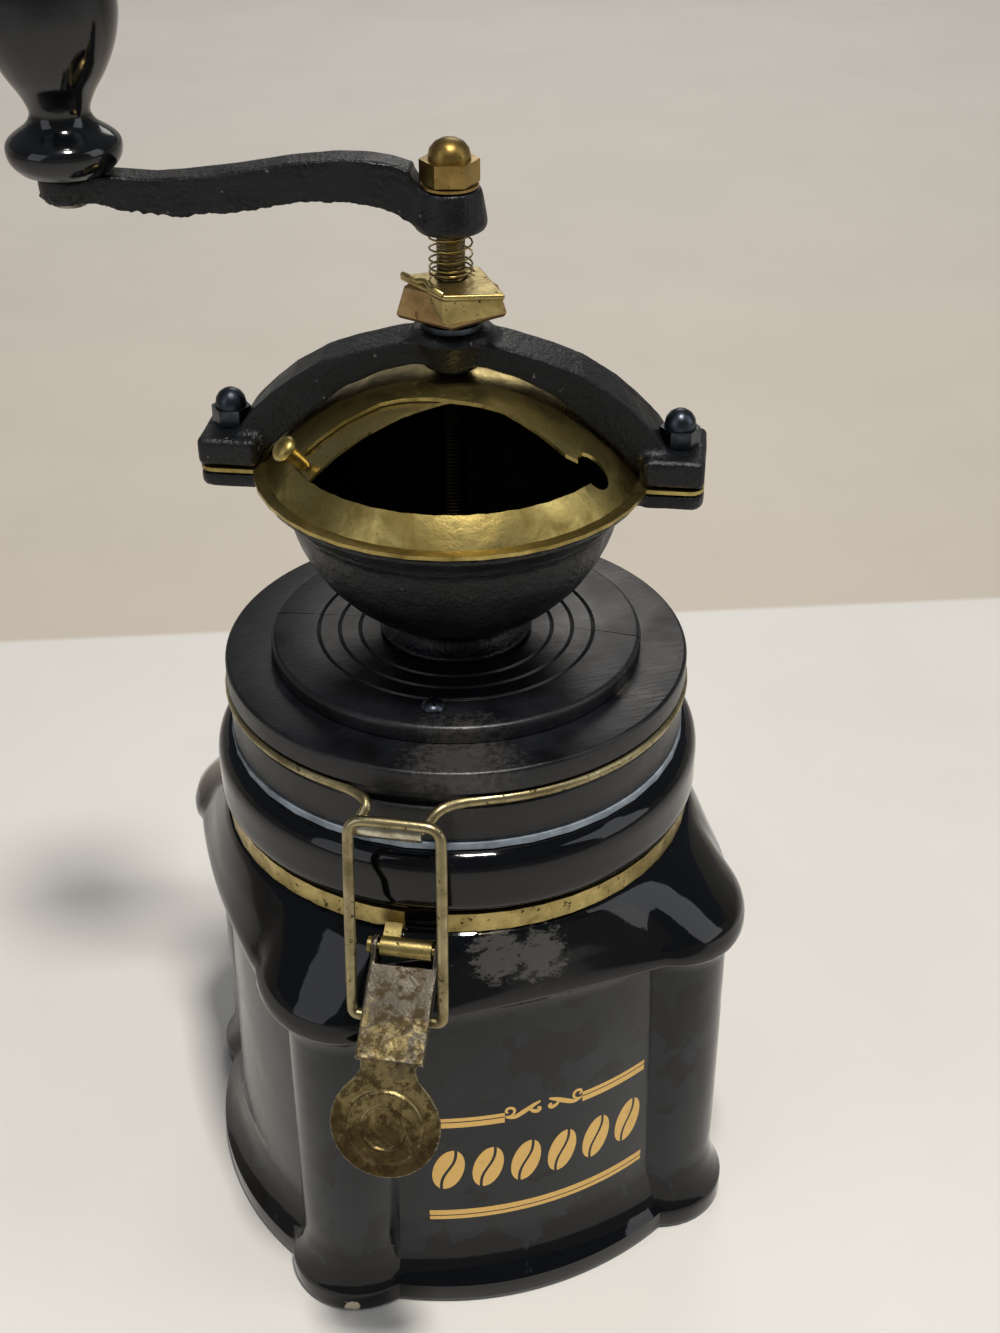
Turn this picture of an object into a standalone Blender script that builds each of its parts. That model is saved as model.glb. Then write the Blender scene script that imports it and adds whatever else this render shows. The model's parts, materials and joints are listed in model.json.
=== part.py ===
# A manual coffee grinder: a glazed jar, a wooden lid held by a swing clip, a cast hopper and a crank.
# Every length is in metres and every angle in degrees. The decorated face looks along -Y.

import math

import bpy
import bmesh
from mathutils import Matrix
from mathutils import Vector

# Clearances that all pieces share
fit_gap = 0.0003
cut_over = 0.003
weld_depth = 0.0004

# Roundness of the turned pieces, in steps
fine_steps = 36
bowl_steps = 30
middle_steps = 26
small_steps = 16
tiny_steps = 12

# Jar: the axis to a face's middle, and the radius of the corner columns
jar_base_face = 0.0603
jar_base_corner = 0.0158
jar_foot_face = 0.0548
jar_top_face = 0.0535
jar_body_corner = 0.0126
jar_lip_face = 0.0572
jar_lip_corner = 0.0222
jar_lip_face_arc = 0.190
jar_lip_corner_reach = 0.0470
jar_face_arc = 0.072
jar_corner_reach = 0.0533
jar_edge_round = 0.0015
jar_plinth_height = 0.0055
jar_flare_height = 0.0105
jar_lip_top = 0.0923
jar_lip_drop = 0.0041
jar_lip_height = 0.0090
jar_shoulder_crown = 0.0005
jar_neck_bottom = 0.1032
jar_neck_radius = 0.0507
jar_groove_height = 0.0054
jar_bulge_radius = 0.0532
jar_height = 0.1228
jar_mouth_radius = 0.0430
jar_mouth_round = 0.0015
jar_wall = 0.0050
jar_floor = 0.0080
jar_face_points = 8
jar_corner_points = 7

# Neck band and its knuckles
band_thickness = 0.0008
band_height = 0.0045
band_gap_start = -120.1
band_gap_end = -110.6
band_step = 7.5
knuckle_wall = 0.0009
front_knuckle_width = 0.0106
rear_knuckle_width = 0.0050
tongue_width = 0.0036
tongue_thickness = 0.0012

# Swing clip: places are distances from the jar's axis and heights
clip_azimuth = -118.5
clip_hinge_out = 0.0059
clip_hinge_reach = jar_neck_radius + clip_hinge_out
clip_hinge_drop = 0.0006
clip_hinge_height = jar_neck_bottom - clip_hinge_drop
lever_pin_radius = 0.0009
lever_pin_head = 0.0017
lever_pin_head_length = 0.0008
lever_width = 0.0139
lever_sheet = 0.0010
lever_flange = 0.0040
lever_eye_radius = 0.0022
lever_top_out = 0.0036
lever_top_reach = clip_hinge_reach + lever_top_out
lever_top_drop = 0.0010
lever_top_height = clip_hinge_height - lever_top_drop
lever_bend_out = 0.0196
lever_bend_reach = clip_hinge_reach + lever_bend_out
lever_bend_drop = 0.0128
lever_bend_height = clip_hinge_height - lever_bend_drop
lever_tip_out = 0.0286
lever_tip_reach = clip_hinge_reach + lever_tip_out
lever_tip_drop = 0.0366
lever_tip_height = clip_hinge_height - lever_tip_drop
thumb_radius = 0.0114
thumb_ring_radius = 0.0078
thumb_ring_width = 0.0030
thumb_ring_rise = 0.0006
bail_wire_radius = 0.0013
bail_width = 0.0214
bail_pivot_out = 0.0102
bail_pivot_reach = clip_hinge_reach + bail_pivot_out
bail_pivot_drop = 0.0098
bail_pivot_height = clip_hinge_height - bail_pivot_drop
bail_top_reach = 0.0567
bail_top_height = 0.1342
bail_lean = 0.0017
bail_corner = 0.0035

# Lid wire
lid_wire_radius = 0.00125
lid_wire_ring = 0.0496
lid_wire_step = 10.0
nose_lag = 0.0019
nose_reach = bail_top_reach - nose_lag
nose_drop = 0.0030
nose_height = bail_top_height - nose_drop
nose_width = 0.0161
nose_lean = 0.0033
nose_leg_lean = 0.0008
nose_corner = 0.0022
rear_azimuth = 61.5
rear_hinge_out = 0.0083
rear_hinge_reach = jar_neck_radius + rear_hinge_out
rear_hinge_rise = 0.0008
rear_hinge_height = jar_neck_bottom + rear_hinge_rise
rear_arm_in = 0.0016
rear_arm_reach = rear_hinge_reach - rear_arm_in
rear_arm_width = 0.0112
rear_arm_corner = 0.0030

# Gasket and wooden discs
gasket_radius = 0.0498
gasket_thickness = 0.0015
lid_radius = 0.0500
lid_lower_radius = 0.0495
lid_thickness = 0.0171
lid_edge_round = 0.0008
lid_groove_bottom = 0.0085
lid_groove_height = 0.0034
lid_bore_radius = 0.0203
plug_radius = 0.0410
plug_depth = 0.0034
raised_radius = 0.0399
raised_thickness = 0.0036
raised_edge_round = 0.0011
ring_groove_radii = (0.0296, 0.0251, 0.0207)
ring_groove_width = 0.0009
ring_groove_depth = 0.0005
lid_screw_reach = 0.0325
lid_screw_azimuths = (-116.0, 64.0)
lid_screw_head = 0.0025
lid_screw_rise = 0.0012
lid_screw_shank = 0.0015
lid_screw_length = 0.0130
screw_slot_width = 0.0006
screw_slot_depth = 0.0006

# Hopper bowl
bowl_radius = 0.0353
bowl_wall = 0.0022
bowl_height = 0.0379
bowl_centre_drop = 0.0006
bowl_rim_radius = 0.0400
bowl_rim_height = 0.0013
bead_drop = 0.0062
bead_rise = 0.0007
throat_radius = 0.0095
neck_outer_radius = 0.0130
foot_radius = 0.0165
foot_height = 0.0010
spigot_radius = 0.0123
spigot_length = 0.0040

# Hopper cover
cover_sheet = 0.0008
cover_rim_radius = 0.0410
cover_dome_radius = 0.0385
cover_dome_rise = 0.0200
cover_eye_radius = 0.0034
opening_radius = 0.0341
opening_right_azimuth = -48.5
opening_left_azimuth = -178.5
knob_notch_radius = 0.0031
knob_notch_reach = 0.0328
knob_notch_azimuth = -51.3
slider_sheet = 0.0007
slider_edge_reach = 0.0092
slider_edge_azimuth = -91.0
slider_knob_azimuth = -171.0
slider_knob_reach = 0.0322
slider_stem_radius = 0.0015
slider_stem_length = 0.0056
slider_knob_radius = 0.0030
slider_knob_height = 0.0024
slider_knob_flat_share = 0.45

# Yoke
yoke_azimuth = -25.3
yoke_span = 0.0513
yoke_foot_inner = 0.0391
yoke_foot_width = 0.0180
yoke_foot_height = 0.0060
yoke_arch_width = 0.0110
yoke_apex_height = 0.0709
yoke_arch_outer = 0.0448
yoke_arch_inner = 0.0330
yoke_edge_round = 0.0008
lug_thickness = 0.0030
lug_corner = 0.0030
boss_top_radius = 0.0087
boss_middle_radius = 0.0074
boss_bottom_radius = 0.0058
boss_top_rise = 0.0016
boss_top = yoke_apex_height + boss_top_rise
boss_middle_drop = 0.0023
boss_middle = yoke_apex_height - boss_middle_drop
boss_bottom_drop = 0.0062
boss_bottom = yoke_apex_height - boss_bottom_drop
boss_collar_radius = 0.0043
boss_collar_drop = 0.0072
boss_collar_bottom = yoke_apex_height - boss_collar_drop
bolt_reach = 0.0458
bolt_radius = 0.0020
bolt_head_radius = 0.0038
bolt_head_height = 0.0024
acorn_flats = 0.0070
acorn_hex_height = 0.0035
acorn_height = 0.0073
acorn_dome_radius = 0.0032

# Shaft stack, heights above the lid disc's top
shaft_radius = 0.0028
bush_radius = 0.0062
bush_height = 0.0012
adjuster_height = 0.0072
adjuster_top_long = 0.0096
adjuster_top_short = 0.0066
adjuster_low_long = 0.0118
adjuster_low_short = 0.0080
clip_sheet = 0.0010
clip_plate_corners = ((-0.0092, 0.0036), (0.0069, 0.0036), (0.0067, -0.0127), (-0.0047, -0.0097))
clip_flange_deep = 0.0063
clip_flange_shallow = 0.0042
clip_fold_depth = 0.0030
clip_fold_start_share = 0.68
spring_wire_radius = 0.00025
spring_mean_radius = 0.00455
spring_close_turns = 2.0
spring_close_pitch = 0.0010
spring_open_turns = 3.0
spring_open_pitch = 0.00225
spring_points_per_turn = 9

# Crank
crank_azimuth = 156.7
crank_reach = 0.0734
crank_hub_rise = 0.0199
crank_hub_bottom = boss_top + crank_hub_rise
crank_hub_height = 0.0080
crank_hub_low_radius = 0.0072
crank_hub_top_radius = 0.00615
crank_arm_width = 0.0070
crank_pad_radius = 0.0059
crank_pad_low_rise = 0.0042
crank_pad_bottom = crank_hub_bottom + crank_pad_low_rise
crank_pad_top_rise = 0.0095
crank_pad_top = crank_hub_bottom + crank_pad_top_rise
crank_arm_lift = 0.0076
crank_arm_rise = crank_hub_bottom + crank_arm_lift
crank_edge_round = 0.0011
crank_washer_radius = 0.0056
crank_washer_height = 0.0005
crank_nut_flats = 0.0100
crank_nut_hex_height = 0.0043
crank_nut_height = 0.0083
crank_nut_dome_radius = 0.0041

# Handle knob
knob_height = 0.0460
knob_bulb_radius = 0.0129
knob_pin_radius = 0.0020
knob_pin_head_radius = 0.0042
knob_pin_head_height = 0.0014
knob_counterbore_depth = 0.0018

# Burrs and the bridge under the lid
burr_ring_radius = 0.0200
burr_flange_radius = 0.0270
burr_flange_height = 0.0030
burr_depth = 0.0160
burr_top_bore = 0.0120
burr_low_bore = 0.0172
burr_running_gap = 0.0006
cone_top_radius = 0.0062
cone_low_radius = 0.0166
cone_height = 0.0240
cone_skirt = 0.0012
burr_nut_radius = 0.0050
burr_nut_height = 0.0040
burr_screw_reach = 0.0236
burr_screw_azimuths = (30.0, 150.0, 270.0)
burr_screw_head = 0.0026
burr_screw_head_height = 0.0016
burr_screw_shank = 0.0013
burr_screw_length = 0.0100
bridge_width = 0.0090
bridge_thickness = 0.0030
bridge_leg_reach = 0.0236
bridge_leg_radius = 0.0024
bridge_azimuth = 0.0
bridge_hub_radius = 0.0070
bridge_hub_height = 0.0070
shaft_tail = 0.0015

# Heights worked out from the sizes above
gasket_bottom = jar_height + fit_gap
lid_bottom = gasket_bottom + gasket_thickness + fit_gap
lid_top = lid_bottom + lid_thickness
plug_bottom = lid_bottom - plug_depth
raised_bottom = lid_top + fit_gap
raised_top = raised_bottom + raised_thickness
bowl_bottom = raised_top + fit_gap
bowl_top = bowl_bottom + bowl_height
cover_bottom = bowl_top + fit_gap
cover_top = cover_bottom + cover_sheet
foot_bottom = cover_top + fit_gap
lug_bottom = bowl_top - lug_thickness
bush_bottom = lid_top + boss_top + fit_gap
bush_top = bush_bottom + bush_height
adjuster_bottom = bush_top + fit_gap
adjuster_top = adjuster_bottom + adjuster_height
clip_bottom = adjuster_top + fit_gap
clip_top = clip_bottom + clip_sheet
hub_bottom = lid_top + crank_hub_bottom
hub_top = hub_bottom + crank_hub_height
washer_bottom = hub_top + fit_gap
washer_top = washer_bottom + crank_washer_height
nut_bottom = washer_top + fit_gap
shaft_top = nut_bottom + crank_nut_height * 0.8
pad_top = lid_top + crank_pad_top
pad_bottom = lid_top + crank_pad_bottom
knob_bottom = pad_top + fit_gap
burr_flange_top = plug_bottom - fit_gap
burr_flange_bottom = burr_flange_top - burr_flange_height
burr_bottom = burr_flange_bottom - burr_depth
cone_bottom = burr_bottom - cone_skirt
burr_nut_top = cone_bottom - fit_gap
burr_nut_bottom = burr_nut_top - burr_nut_height
bridge_top = burr_nut_bottom - fit_gap
shaft_bottom = bridge_top - bridge_hub_height - shaft_tail

# Finishes: colour, roughness and metallic value
finishes = {
    "glaze": ((0.012, 0.012, 0.014, 1.0), 0.12, 0.0),
    "black wood": ((0.022, 0.020, 0.018, 1.0), 0.45, 0.0),
    "cast iron": ((0.016, 0.017, 0.019, 1.0), 0.55, 0.3),
    "aged brass": ((0.29, 0.20, 0.07, 1.0), 0.35, 0.9),
    "worn plating": ((0.27, 0.23, 0.16, 1.0), 0.35, 0.9),
    "steel": ((0.30, 0.30, 0.30, 1.0), 0.35, 1.0),
    "dark steel": ((0.05, 0.05, 0.055, 1.0), 0.40, 0.8),
    "rubber": ((0.42, 0.46, 0.50, 1.0), 0.70, 0.0),
    "lacquer": ((0.010, 0.010, 0.010, 1.0), 0.15, 0.0),
}


# Scene and small helpers

def clear_scene():
    for obj in list(bpy.data.objects):
        bpy.data.objects.remove(obj, do_unlink=True)
    for collection in list(bpy.data.collections):
        bpy.data.collections.remove(collection)


clear_scene()
parts = bpy.data.collections.new("coffee_grinder")
cutters = bpy.data.collections.new("cutters")
bpy.context.scene.collection.children.link(parts)
bpy.context.scene.collection.children.link(cutters)


def finish_material(name, finish):
    colour, roughness, metallic = finishes[finish]
    material = bpy.data.materials.new(name + " " + finish)
    material.use_nodes = True
    shader = material.node_tree.nodes["Principled BSDF"]
    shader.inputs["Base Color"].default_value = colour
    shader.inputs["Roughness"].default_value = roughness
    shader.inputs["Metallic"].default_value = metallic
    material.diffuse_color = colour
    return material


def place(obj, finish):
    # With a finish the object is a node, and without one it is a cutter
    if finish:
        parts.objects.link(obj)
        obj.data.materials.append(finish_material(obj.name, finish))
    else:
        cutters.objects.link(obj)
        obj.hide_render = True
        obj.display_type = "WIRE"
    return obj


def mesh_object(name, bm, finish):
    mesh = bpy.data.meshes.new(name)
    bm.to_mesh(mesh)
    bm.free()
    return place(bpy.data.objects.new(name, mesh), finish)


def turned(name, profile, finish=None, steps=middle_steps, closed=False):
    # The profile runs from the top to the bottom on the outer side
    bm = bmesh.new()
    verts = [bm.verts.new((radius, 0.0, height)) for radius, height in profile]
    for first, second in zip(verts, verts[1:]):
        bm.edges.new((first, second))
    if closed:
        bm.edges.new((verts[-1], verts[0]))
    obj = mesh_object(name, bm, finish)
    screw = obj.modifiers.new("Turn", "SCREW")
    screw.axis = "Z"
    screw.angle = math.tau
    screw.steps = steps
    screw.render_steps = steps
    screw.use_merge_vertices = True
    screw.merge_threshold = 0.00001
    screw.use_smooth_shade = False
    return obj


def cylinder(name, radius, bottom, top, finish=None, steps=middle_steps, turn=0.0):
    bm = bmesh.new()
    lift = Matrix.Translation((0.0, 0.0, (bottom + top) / 2)) @ Matrix.Rotation(math.radians(turn), 4, "Z")
    bmesh.ops.create_cone(
        bm, cap_ends=True, segments=steps, radius1=radius, radius2=radius, depth=top - bottom, matrix=lift)
    return mesh_object(name, bm, finish)


def block(name, size, centre, finish=None):
    bm = bmesh.new()
    scale = Matrix.Diagonal((*size, 1.0))
    bmesh.ops.create_cube(bm, size=1.0, matrix=Matrix.Translation(centre) @ scale)
    return mesh_object(name, bm, finish)


def curve_to_mesh(obj):
    depsgraph = bpy.context.evaluated_depsgraph_get()
    mesh = bpy.data.meshes.new_from_object(obj.evaluated_get(depsgraph))
    bm = bmesh.new()
    bm.from_mesh(mesh)
    bmesh.ops.remove_doubles(bm, verts=bm.verts, dist=0.000001)
    bm.to_mesh(mesh)
    bm.free()
    mesh.name = obj.name
    solid = bpy.data.objects.new("solid", mesh)
    solid.matrix_world = obj.matrix_world
    name = obj.name
    collection = obj.users_collection[0]
    hidden = obj.hide_render
    display = obj.display_type
    bpy.data.objects.remove(obj, do_unlink=True)
    collection.objects.link(solid)
    solid.name = name
    solid.hide_render = hidden
    solid.display_type = display
    return solid


def prism(name, outline, thickness, finish=None, matrix=None):
    # A flat outline in XY, extruded both ways along Z and then placed by a matrix
    curve = bpy.data.curves.new(name, "CURVE")
    curve.dimensions = "2D"
    curve.fill_mode = "BOTH"
    curve.extrude = thickness / 2
    spline = curve.splines.new("POLY")
    spline.points.add(len(outline) - 1)
    for point, (x, y) in zip(spline.points, outline):
        point.co = (x, y, 0.0, 1.0)
    spline.use_cyclic_u = True
    obj = place(bpy.data.objects.new(name, curve), finish)
    if matrix is not None:
        obj.matrix_world = matrix
    bpy.context.view_layer.update()
    return curve_to_mesh(obj)


def tube(name, points, radius, finish=None, resolution=2):
    curve = bpy.data.curves.new(name, "CURVE")
    curve.dimensions = "3D"
    curve.bevel_depth = radius
    curve.bevel_resolution = resolution
    curve.use_fill_caps = True
    spline = curve.splines.new("POLY")
    spline.points.add(len(points) - 1)
    for point, place_on_route in zip(spline.points, points):
        point.co = (*place_on_route, 1.0)
    return place(bpy.data.objects.new(name, curve), finish)


def combine(target, other, operation):
    # The other solid becomes a cutter, so it leaves the parts
    if other.name not in cutters.objects:
        for collection in list(other.users_collection):
            collection.objects.unlink(other)
        cutters.objects.link(other)
    other.hide_render = True
    other.display_type = "WIRE"
    modifier = target.modifiers.new(other.name, "BOOLEAN")
    modifier.operation = operation
    modifier.solver = "EXACT"
    modifier.object = other
    return target


def join(target, other):
    return combine(target, other, "UNION")


def cut(target, other):
    return combine(target, other, "DIFFERENCE")


def bore(target, radius, bottom, top, x=0.0, y=0.0, steps=small_steps):
    cutter = cylinder(target.name + "_bore", radius, bottom, top, steps=steps)
    cutter.location = (x, y, 0.0)
    return cut(target, cutter)


def soften(obj, width, segments=1):
    bevel = obj.modifiers.new("Edge", "BEVEL")
    bevel.width = width
    bevel.segments = segments
    bevel.limit_method = "ANGLE"
    bevel.angle_limit = math.radians(40.0)
    return obj


def polar(reach, azimuth):
    angle = math.radians(azimuth)
    return reach * math.cos(angle), reach * math.sin(angle)


def spin(azimuth):
    return Matrix.Rotation(math.radians(azimuth), 4, "Z")


def upright(azimuth):
    # An outline's x becomes the distance from the axis and its y the height
    return spin(azimuth) @ Matrix.Rotation(math.radians(90.0), 4, "X")


def arc(centre, radius, start, end, count):
    # Points on an arc in the plane, both ends included
    points = []
    for index in range(count + 1):
        angle = math.radians(start + (end - start) * index / count)
        points.append((centre[0] + radius * math.cos(angle), centre[1] + radius * math.sin(angle)))
    return points


def rounded_route(corners, radius, count=4):
    # A route through the corners, with each inner corner turned to an arc
    route = [Vector(corners[0])]
    for before, corner, after in zip(corners, corners[1:], corners[2:]):
        corner = Vector(corner)
        back = (Vector(before) - corner)
        ahead = (Vector(after) - corner)
        reach = min(radius, back.length * 0.45, ahead.length * 0.45)
        start = corner + back.normalized() * reach
        end = corner + ahead.normalized() * reach
        for index in range(count + 1):
            share = index / count
            route.append(start * (1 - share) ** 2 + corner * 2 * share * (1 - share) + end * share ** 2)
    route.append(Vector(corners[-1]))
    return route


def axis_empty(name, location, azimuth=0.0):
    empty = bpy.data.objects.new(name, None)
    parts.objects.link(empty)
    empty.matrix_world = Matrix.Translation(location) @ spin(azimuth)
    return empty


def carry(empty, objects):
    bpy.context.view_layer.update()
    for obj in objects:
        world = obj.matrix_world.copy()
        obj.parent = empty
        obj.matrix_parent_inverse = empty.matrix_world.inverted()
        obj.matrix_world = world


# Jar

def jar_outline(face, corner, face_arc=jar_face_arc, corner_reach=jar_corner_reach):
    # Four bowed faces and four round corner columns, counterclockwise from the +X face
    bow_centre = Vector((face - face_arc, 0.0))
    side = corner_reach / math.sqrt(2.0)
    column = Vector((side, side))
    between = column - bow_centre
    distance = between.length
    along = (face_arc ** 2 - corner ** 2 + distance ** 2) / (2 * distance)
    across = math.sqrt(max(face_arc ** 2 - along ** 2, 0.0))
    unit = between / distance
    crease = bow_centre + unit * along + Vector((unit.y, -unit.x)) * across
    bow = math.degrees(math.atan2(crease.y, crease.x - bow_centre.x))
    start = math.degrees(math.atan2(crease.y - column.y, crease.x - column.x))
    quarter = arc(bow_centre, face_arc, -bow, bow, jar_face_points)[:-1]
    quarter += arc(column, corner, start, 90.0 - start, jar_corner_points)[:-1]
    outline = []
    for turn in range(4):
        rotation = Matrix.Rotation(math.radians(90.0 * turn), 2)
        outline += [rotation @ Vector(point) for point in quarter]
    return outline


def circle_like(outline, radius):
    return [point.normalized() * radius for point in outline]


def blend(first, second, share):
    return [a * (1 - share) + b * share for a, b in zip(first, second)]


def loft(name, rings, finish):
    bm = bmesh.new()
    rows = [[bm.verts.new((point.x, point.y, height)) for point, height in ring] for ring in rings]
    count = len(rows[0])
    for lower, upper in zip(rows, rows[1:]):
        for index in range(count):
            following = (index + 1) % count
            bm.faces.new((lower[index], lower[following], upper[following], upper[index]))
    bm.faces.new(list(reversed(rows[0])))
    bm.faces.new(rows[-1])
    return mesh_object(name, bm, finish)


flare_shares = ((0.22, 0.62), (0.55, 0.24), (1.0, 0.0))
lip_shares = ((1.0, 0.0), (0.80, 0.30), (0.64, 0.80), (0.48, 1.0), (0.26, 0.97), (0.0, 0.78))
shoulder_shares = (0.33, 0.67)
bulge_shares = ((0.06, 0.6), (0.21, 1.0), (0.70, 1.0), (0.90, 0.6), (1.0, -0.1))


def make_jar():
    base = jar_outline(jar_base_face, jar_base_corner)
    foot = jar_outline(jar_foot_face, jar_body_corner)
    top = jar_outline(jar_top_face, jar_body_corner)
    lip = jar_outline(jar_lip_face, jar_lip_corner, jar_lip_face_arc, jar_lip_corner_reach)
    lip_reach = jar_lip_corner_reach + jar_lip_corner
    lip_spread = lip_reach - jar_lip_face
    edge = [jar_lip_top - jar_lip_drop * (point.length - jar_lip_face) / lip_spread for point in lip]
    rings = []

    def level(outline, height):
        rings.append([(point, height) for point in outline])

    level(jar_outline(jar_base_face - jar_edge_round, jar_base_corner - jar_edge_round), 0.0)
    level(base, jar_edge_round)
    level(base, jar_plinth_height)
    for rise, spread in flare_shares:
        level(blend(foot, base, spread), jar_plinth_height + jar_flare_height * rise)
    for drop, spread in lip_shares:
        outline = blend(top, lip, spread)
        rings.append([(point, height - jar_lip_height * drop) for point, height in zip(outline, edge)])
    lip_edge = blend(top, lip, lip_shares[-1][1])
    neck_foot = circle_like(lip, jar_neck_radius + jar_edge_round)
    for share in shoulder_shares:
        outline = blend(lip_edge, neck_foot, share)
        rings.append([
            (point,
             height + (jar_neck_bottom - height) * share + jar_shoulder_crown * 4 * share * (1 - share))
            for point, height in zip(outline, edge)])
    neck = circle_like(lip, jar_neck_radius)
    groove_top = jar_neck_bottom + jar_groove_height
    level(neck_foot, jar_neck_bottom - fit_gap)
    level(neck, jar_neck_bottom)
    level(neck, groove_top)
    for rise, spread in bulge_shares:
        radius = jar_neck_radius + (jar_bulge_radius - jar_neck_radius) * spread
        level(circle_like(lip, radius), groove_top + (jar_height - groove_top) * rise)
    level(circle_like(lip, jar_mouth_radius + jar_mouth_round), jar_height)
    level(circle_like(lip, jar_mouth_radius), jar_height - jar_mouth_round)
    level(circle_like(lip, jar_mouth_radius), jar_neck_bottom)
    inner_top = jar_outline(jar_top_face - jar_wall, jar_body_corner - jar_wall)
    inner_foot = jar_outline(jar_foot_face - jar_wall, jar_body_corner - jar_wall)
    level(inner_top, jar_lip_top - jar_lip_height)
    level(inner_foot, jar_floor + jar_wall)
    level(blend(inner_foot, circle_like(inner_foot, jar_mouth_radius), 0.2), jar_floor)
    return loft("jar", rings, "glaze")


jar = make_jar()


# Neck band with its knuckles

def knuckle(name, reach, height, azimuth, width, outer):
    # A short solid tube across the clip's plane
    solid = cylinder(name, outer, -width / 2, width / 2, steps=small_steps)
    solid.matrix_world = spin(azimuth) @ Matrix.Translation((reach, 0.0, height)) @ Matrix.Rotation(
        math.radians(90.0), 4, "X")
    return solid


band_inner = jar_neck_radius + fit_gap
band_outer = band_inner + band_thickness
band_bottom = jar_neck_bottom + fit_gap
band_top = band_bottom + band_height
front_knuckle = lever_pin_radius + fit_gap + knuckle_wall
rear_knuckle = lid_wire_radius + fit_gap + knuckle_wall


def make_band():
    sweep = 360.0 - (band_gap_end - band_gap_start)
    count = round(sweep / band_step)
    outline = arc((0.0, 0.0), band_outer, band_gap_end, band_gap_end + sweep, count)
    outline += reversed(arc((0.0, 0.0), band_inner, band_gap_end, band_gap_end + sweep, count))
    middle = (band_bottom + band_top) / 2
    band = prism("neck_band", outline, band_height, "aged brass", Matrix.Translation((0.0, 0.0, middle)))
    join(band, knuckle("front_knuckle", clip_hinge_reach, clip_hinge_height, clip_azimuth,
                       front_knuckle_width, front_knuckle))
    join(band, knuckle("rear_knuckle", rear_hinge_reach, rear_hinge_height, rear_azimuth,
                       rear_knuckle_width, rear_knuckle))
    front = ((band_inner + band_thickness / 2, band_bottom + band_thickness),
             (clip_hinge_reach, clip_hinge_height - front_knuckle * 0.2))
    rear = ((band_inner + band_thickness / 2, band_bottom + band_thickness * 2),
            (rear_hinge_reach, rear_hinge_height + rear_knuckle * 0.3))
    for name, (start, end), azimuth, shift in (
            ("front_tongue", front, clip_azimuth, -tongue_width), ("rear_tongue", rear, rear_azimuth, 0.0)):
        along = Vector((end[0] - start[0], end[1] - start[1]))
        middle = (Vector(start) + Vector(end)) / 2
        tongue = block(name, (along.length, tongue_width, tongue_thickness), (0.0, 0.0, 0.0))
        lean = math.atan2(along.y, along.x)
        tongue.matrix_world = spin(azimuth) @ Matrix.Translation(
            (middle.x, shift, middle.y)) @ Matrix.Rotation(-lean, 4, "Y")
        join(band, tongue)
    cut(band, knuckle("front_knuckle_bore", clip_hinge_reach, clip_hinge_height, clip_azimuth,
                      front_knuckle_width + cut_over, lever_pin_radius + fit_gap))
    cut(band, knuckle("rear_knuckle_bore", rear_hinge_reach, rear_hinge_height, rear_azimuth,
                      rear_knuckle_width + cut_over, lid_wire_radius + fit_gap))
    return band


neck_band = make_band()


# Lever pin, lever and bail

def make_lever_pin():
    half = lever_width / 2 + fit_gap
    profile = (
        (0.0, half + lever_pin_head_length), (lever_pin_head, half + lever_pin_head_length),
        (lever_pin_head, half), (lever_pin_radius, half), (lever_pin_radius, -half),
        (lever_pin_head, -half), (lever_pin_head, -half - lever_pin_head_length),
        (0.0, -half - lever_pin_head_length))
    pin = turned("lever_pin", profile, "aged brass", steps=small_steps)
    pin.matrix_world = spin(clip_azimuth) @ Matrix.Translation(
        (clip_hinge_reach, 0.0, clip_hinge_height)) @ Matrix.Rotation(math.radians(90.0), 4, "X")
    return pin


lever_pin = make_lever_pin()

neck_shares = ((0.0, 0.50), (0.10, 0.50), (0.16, 0.57), (0.21, 0.67), (0.27, 0.78))


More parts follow.
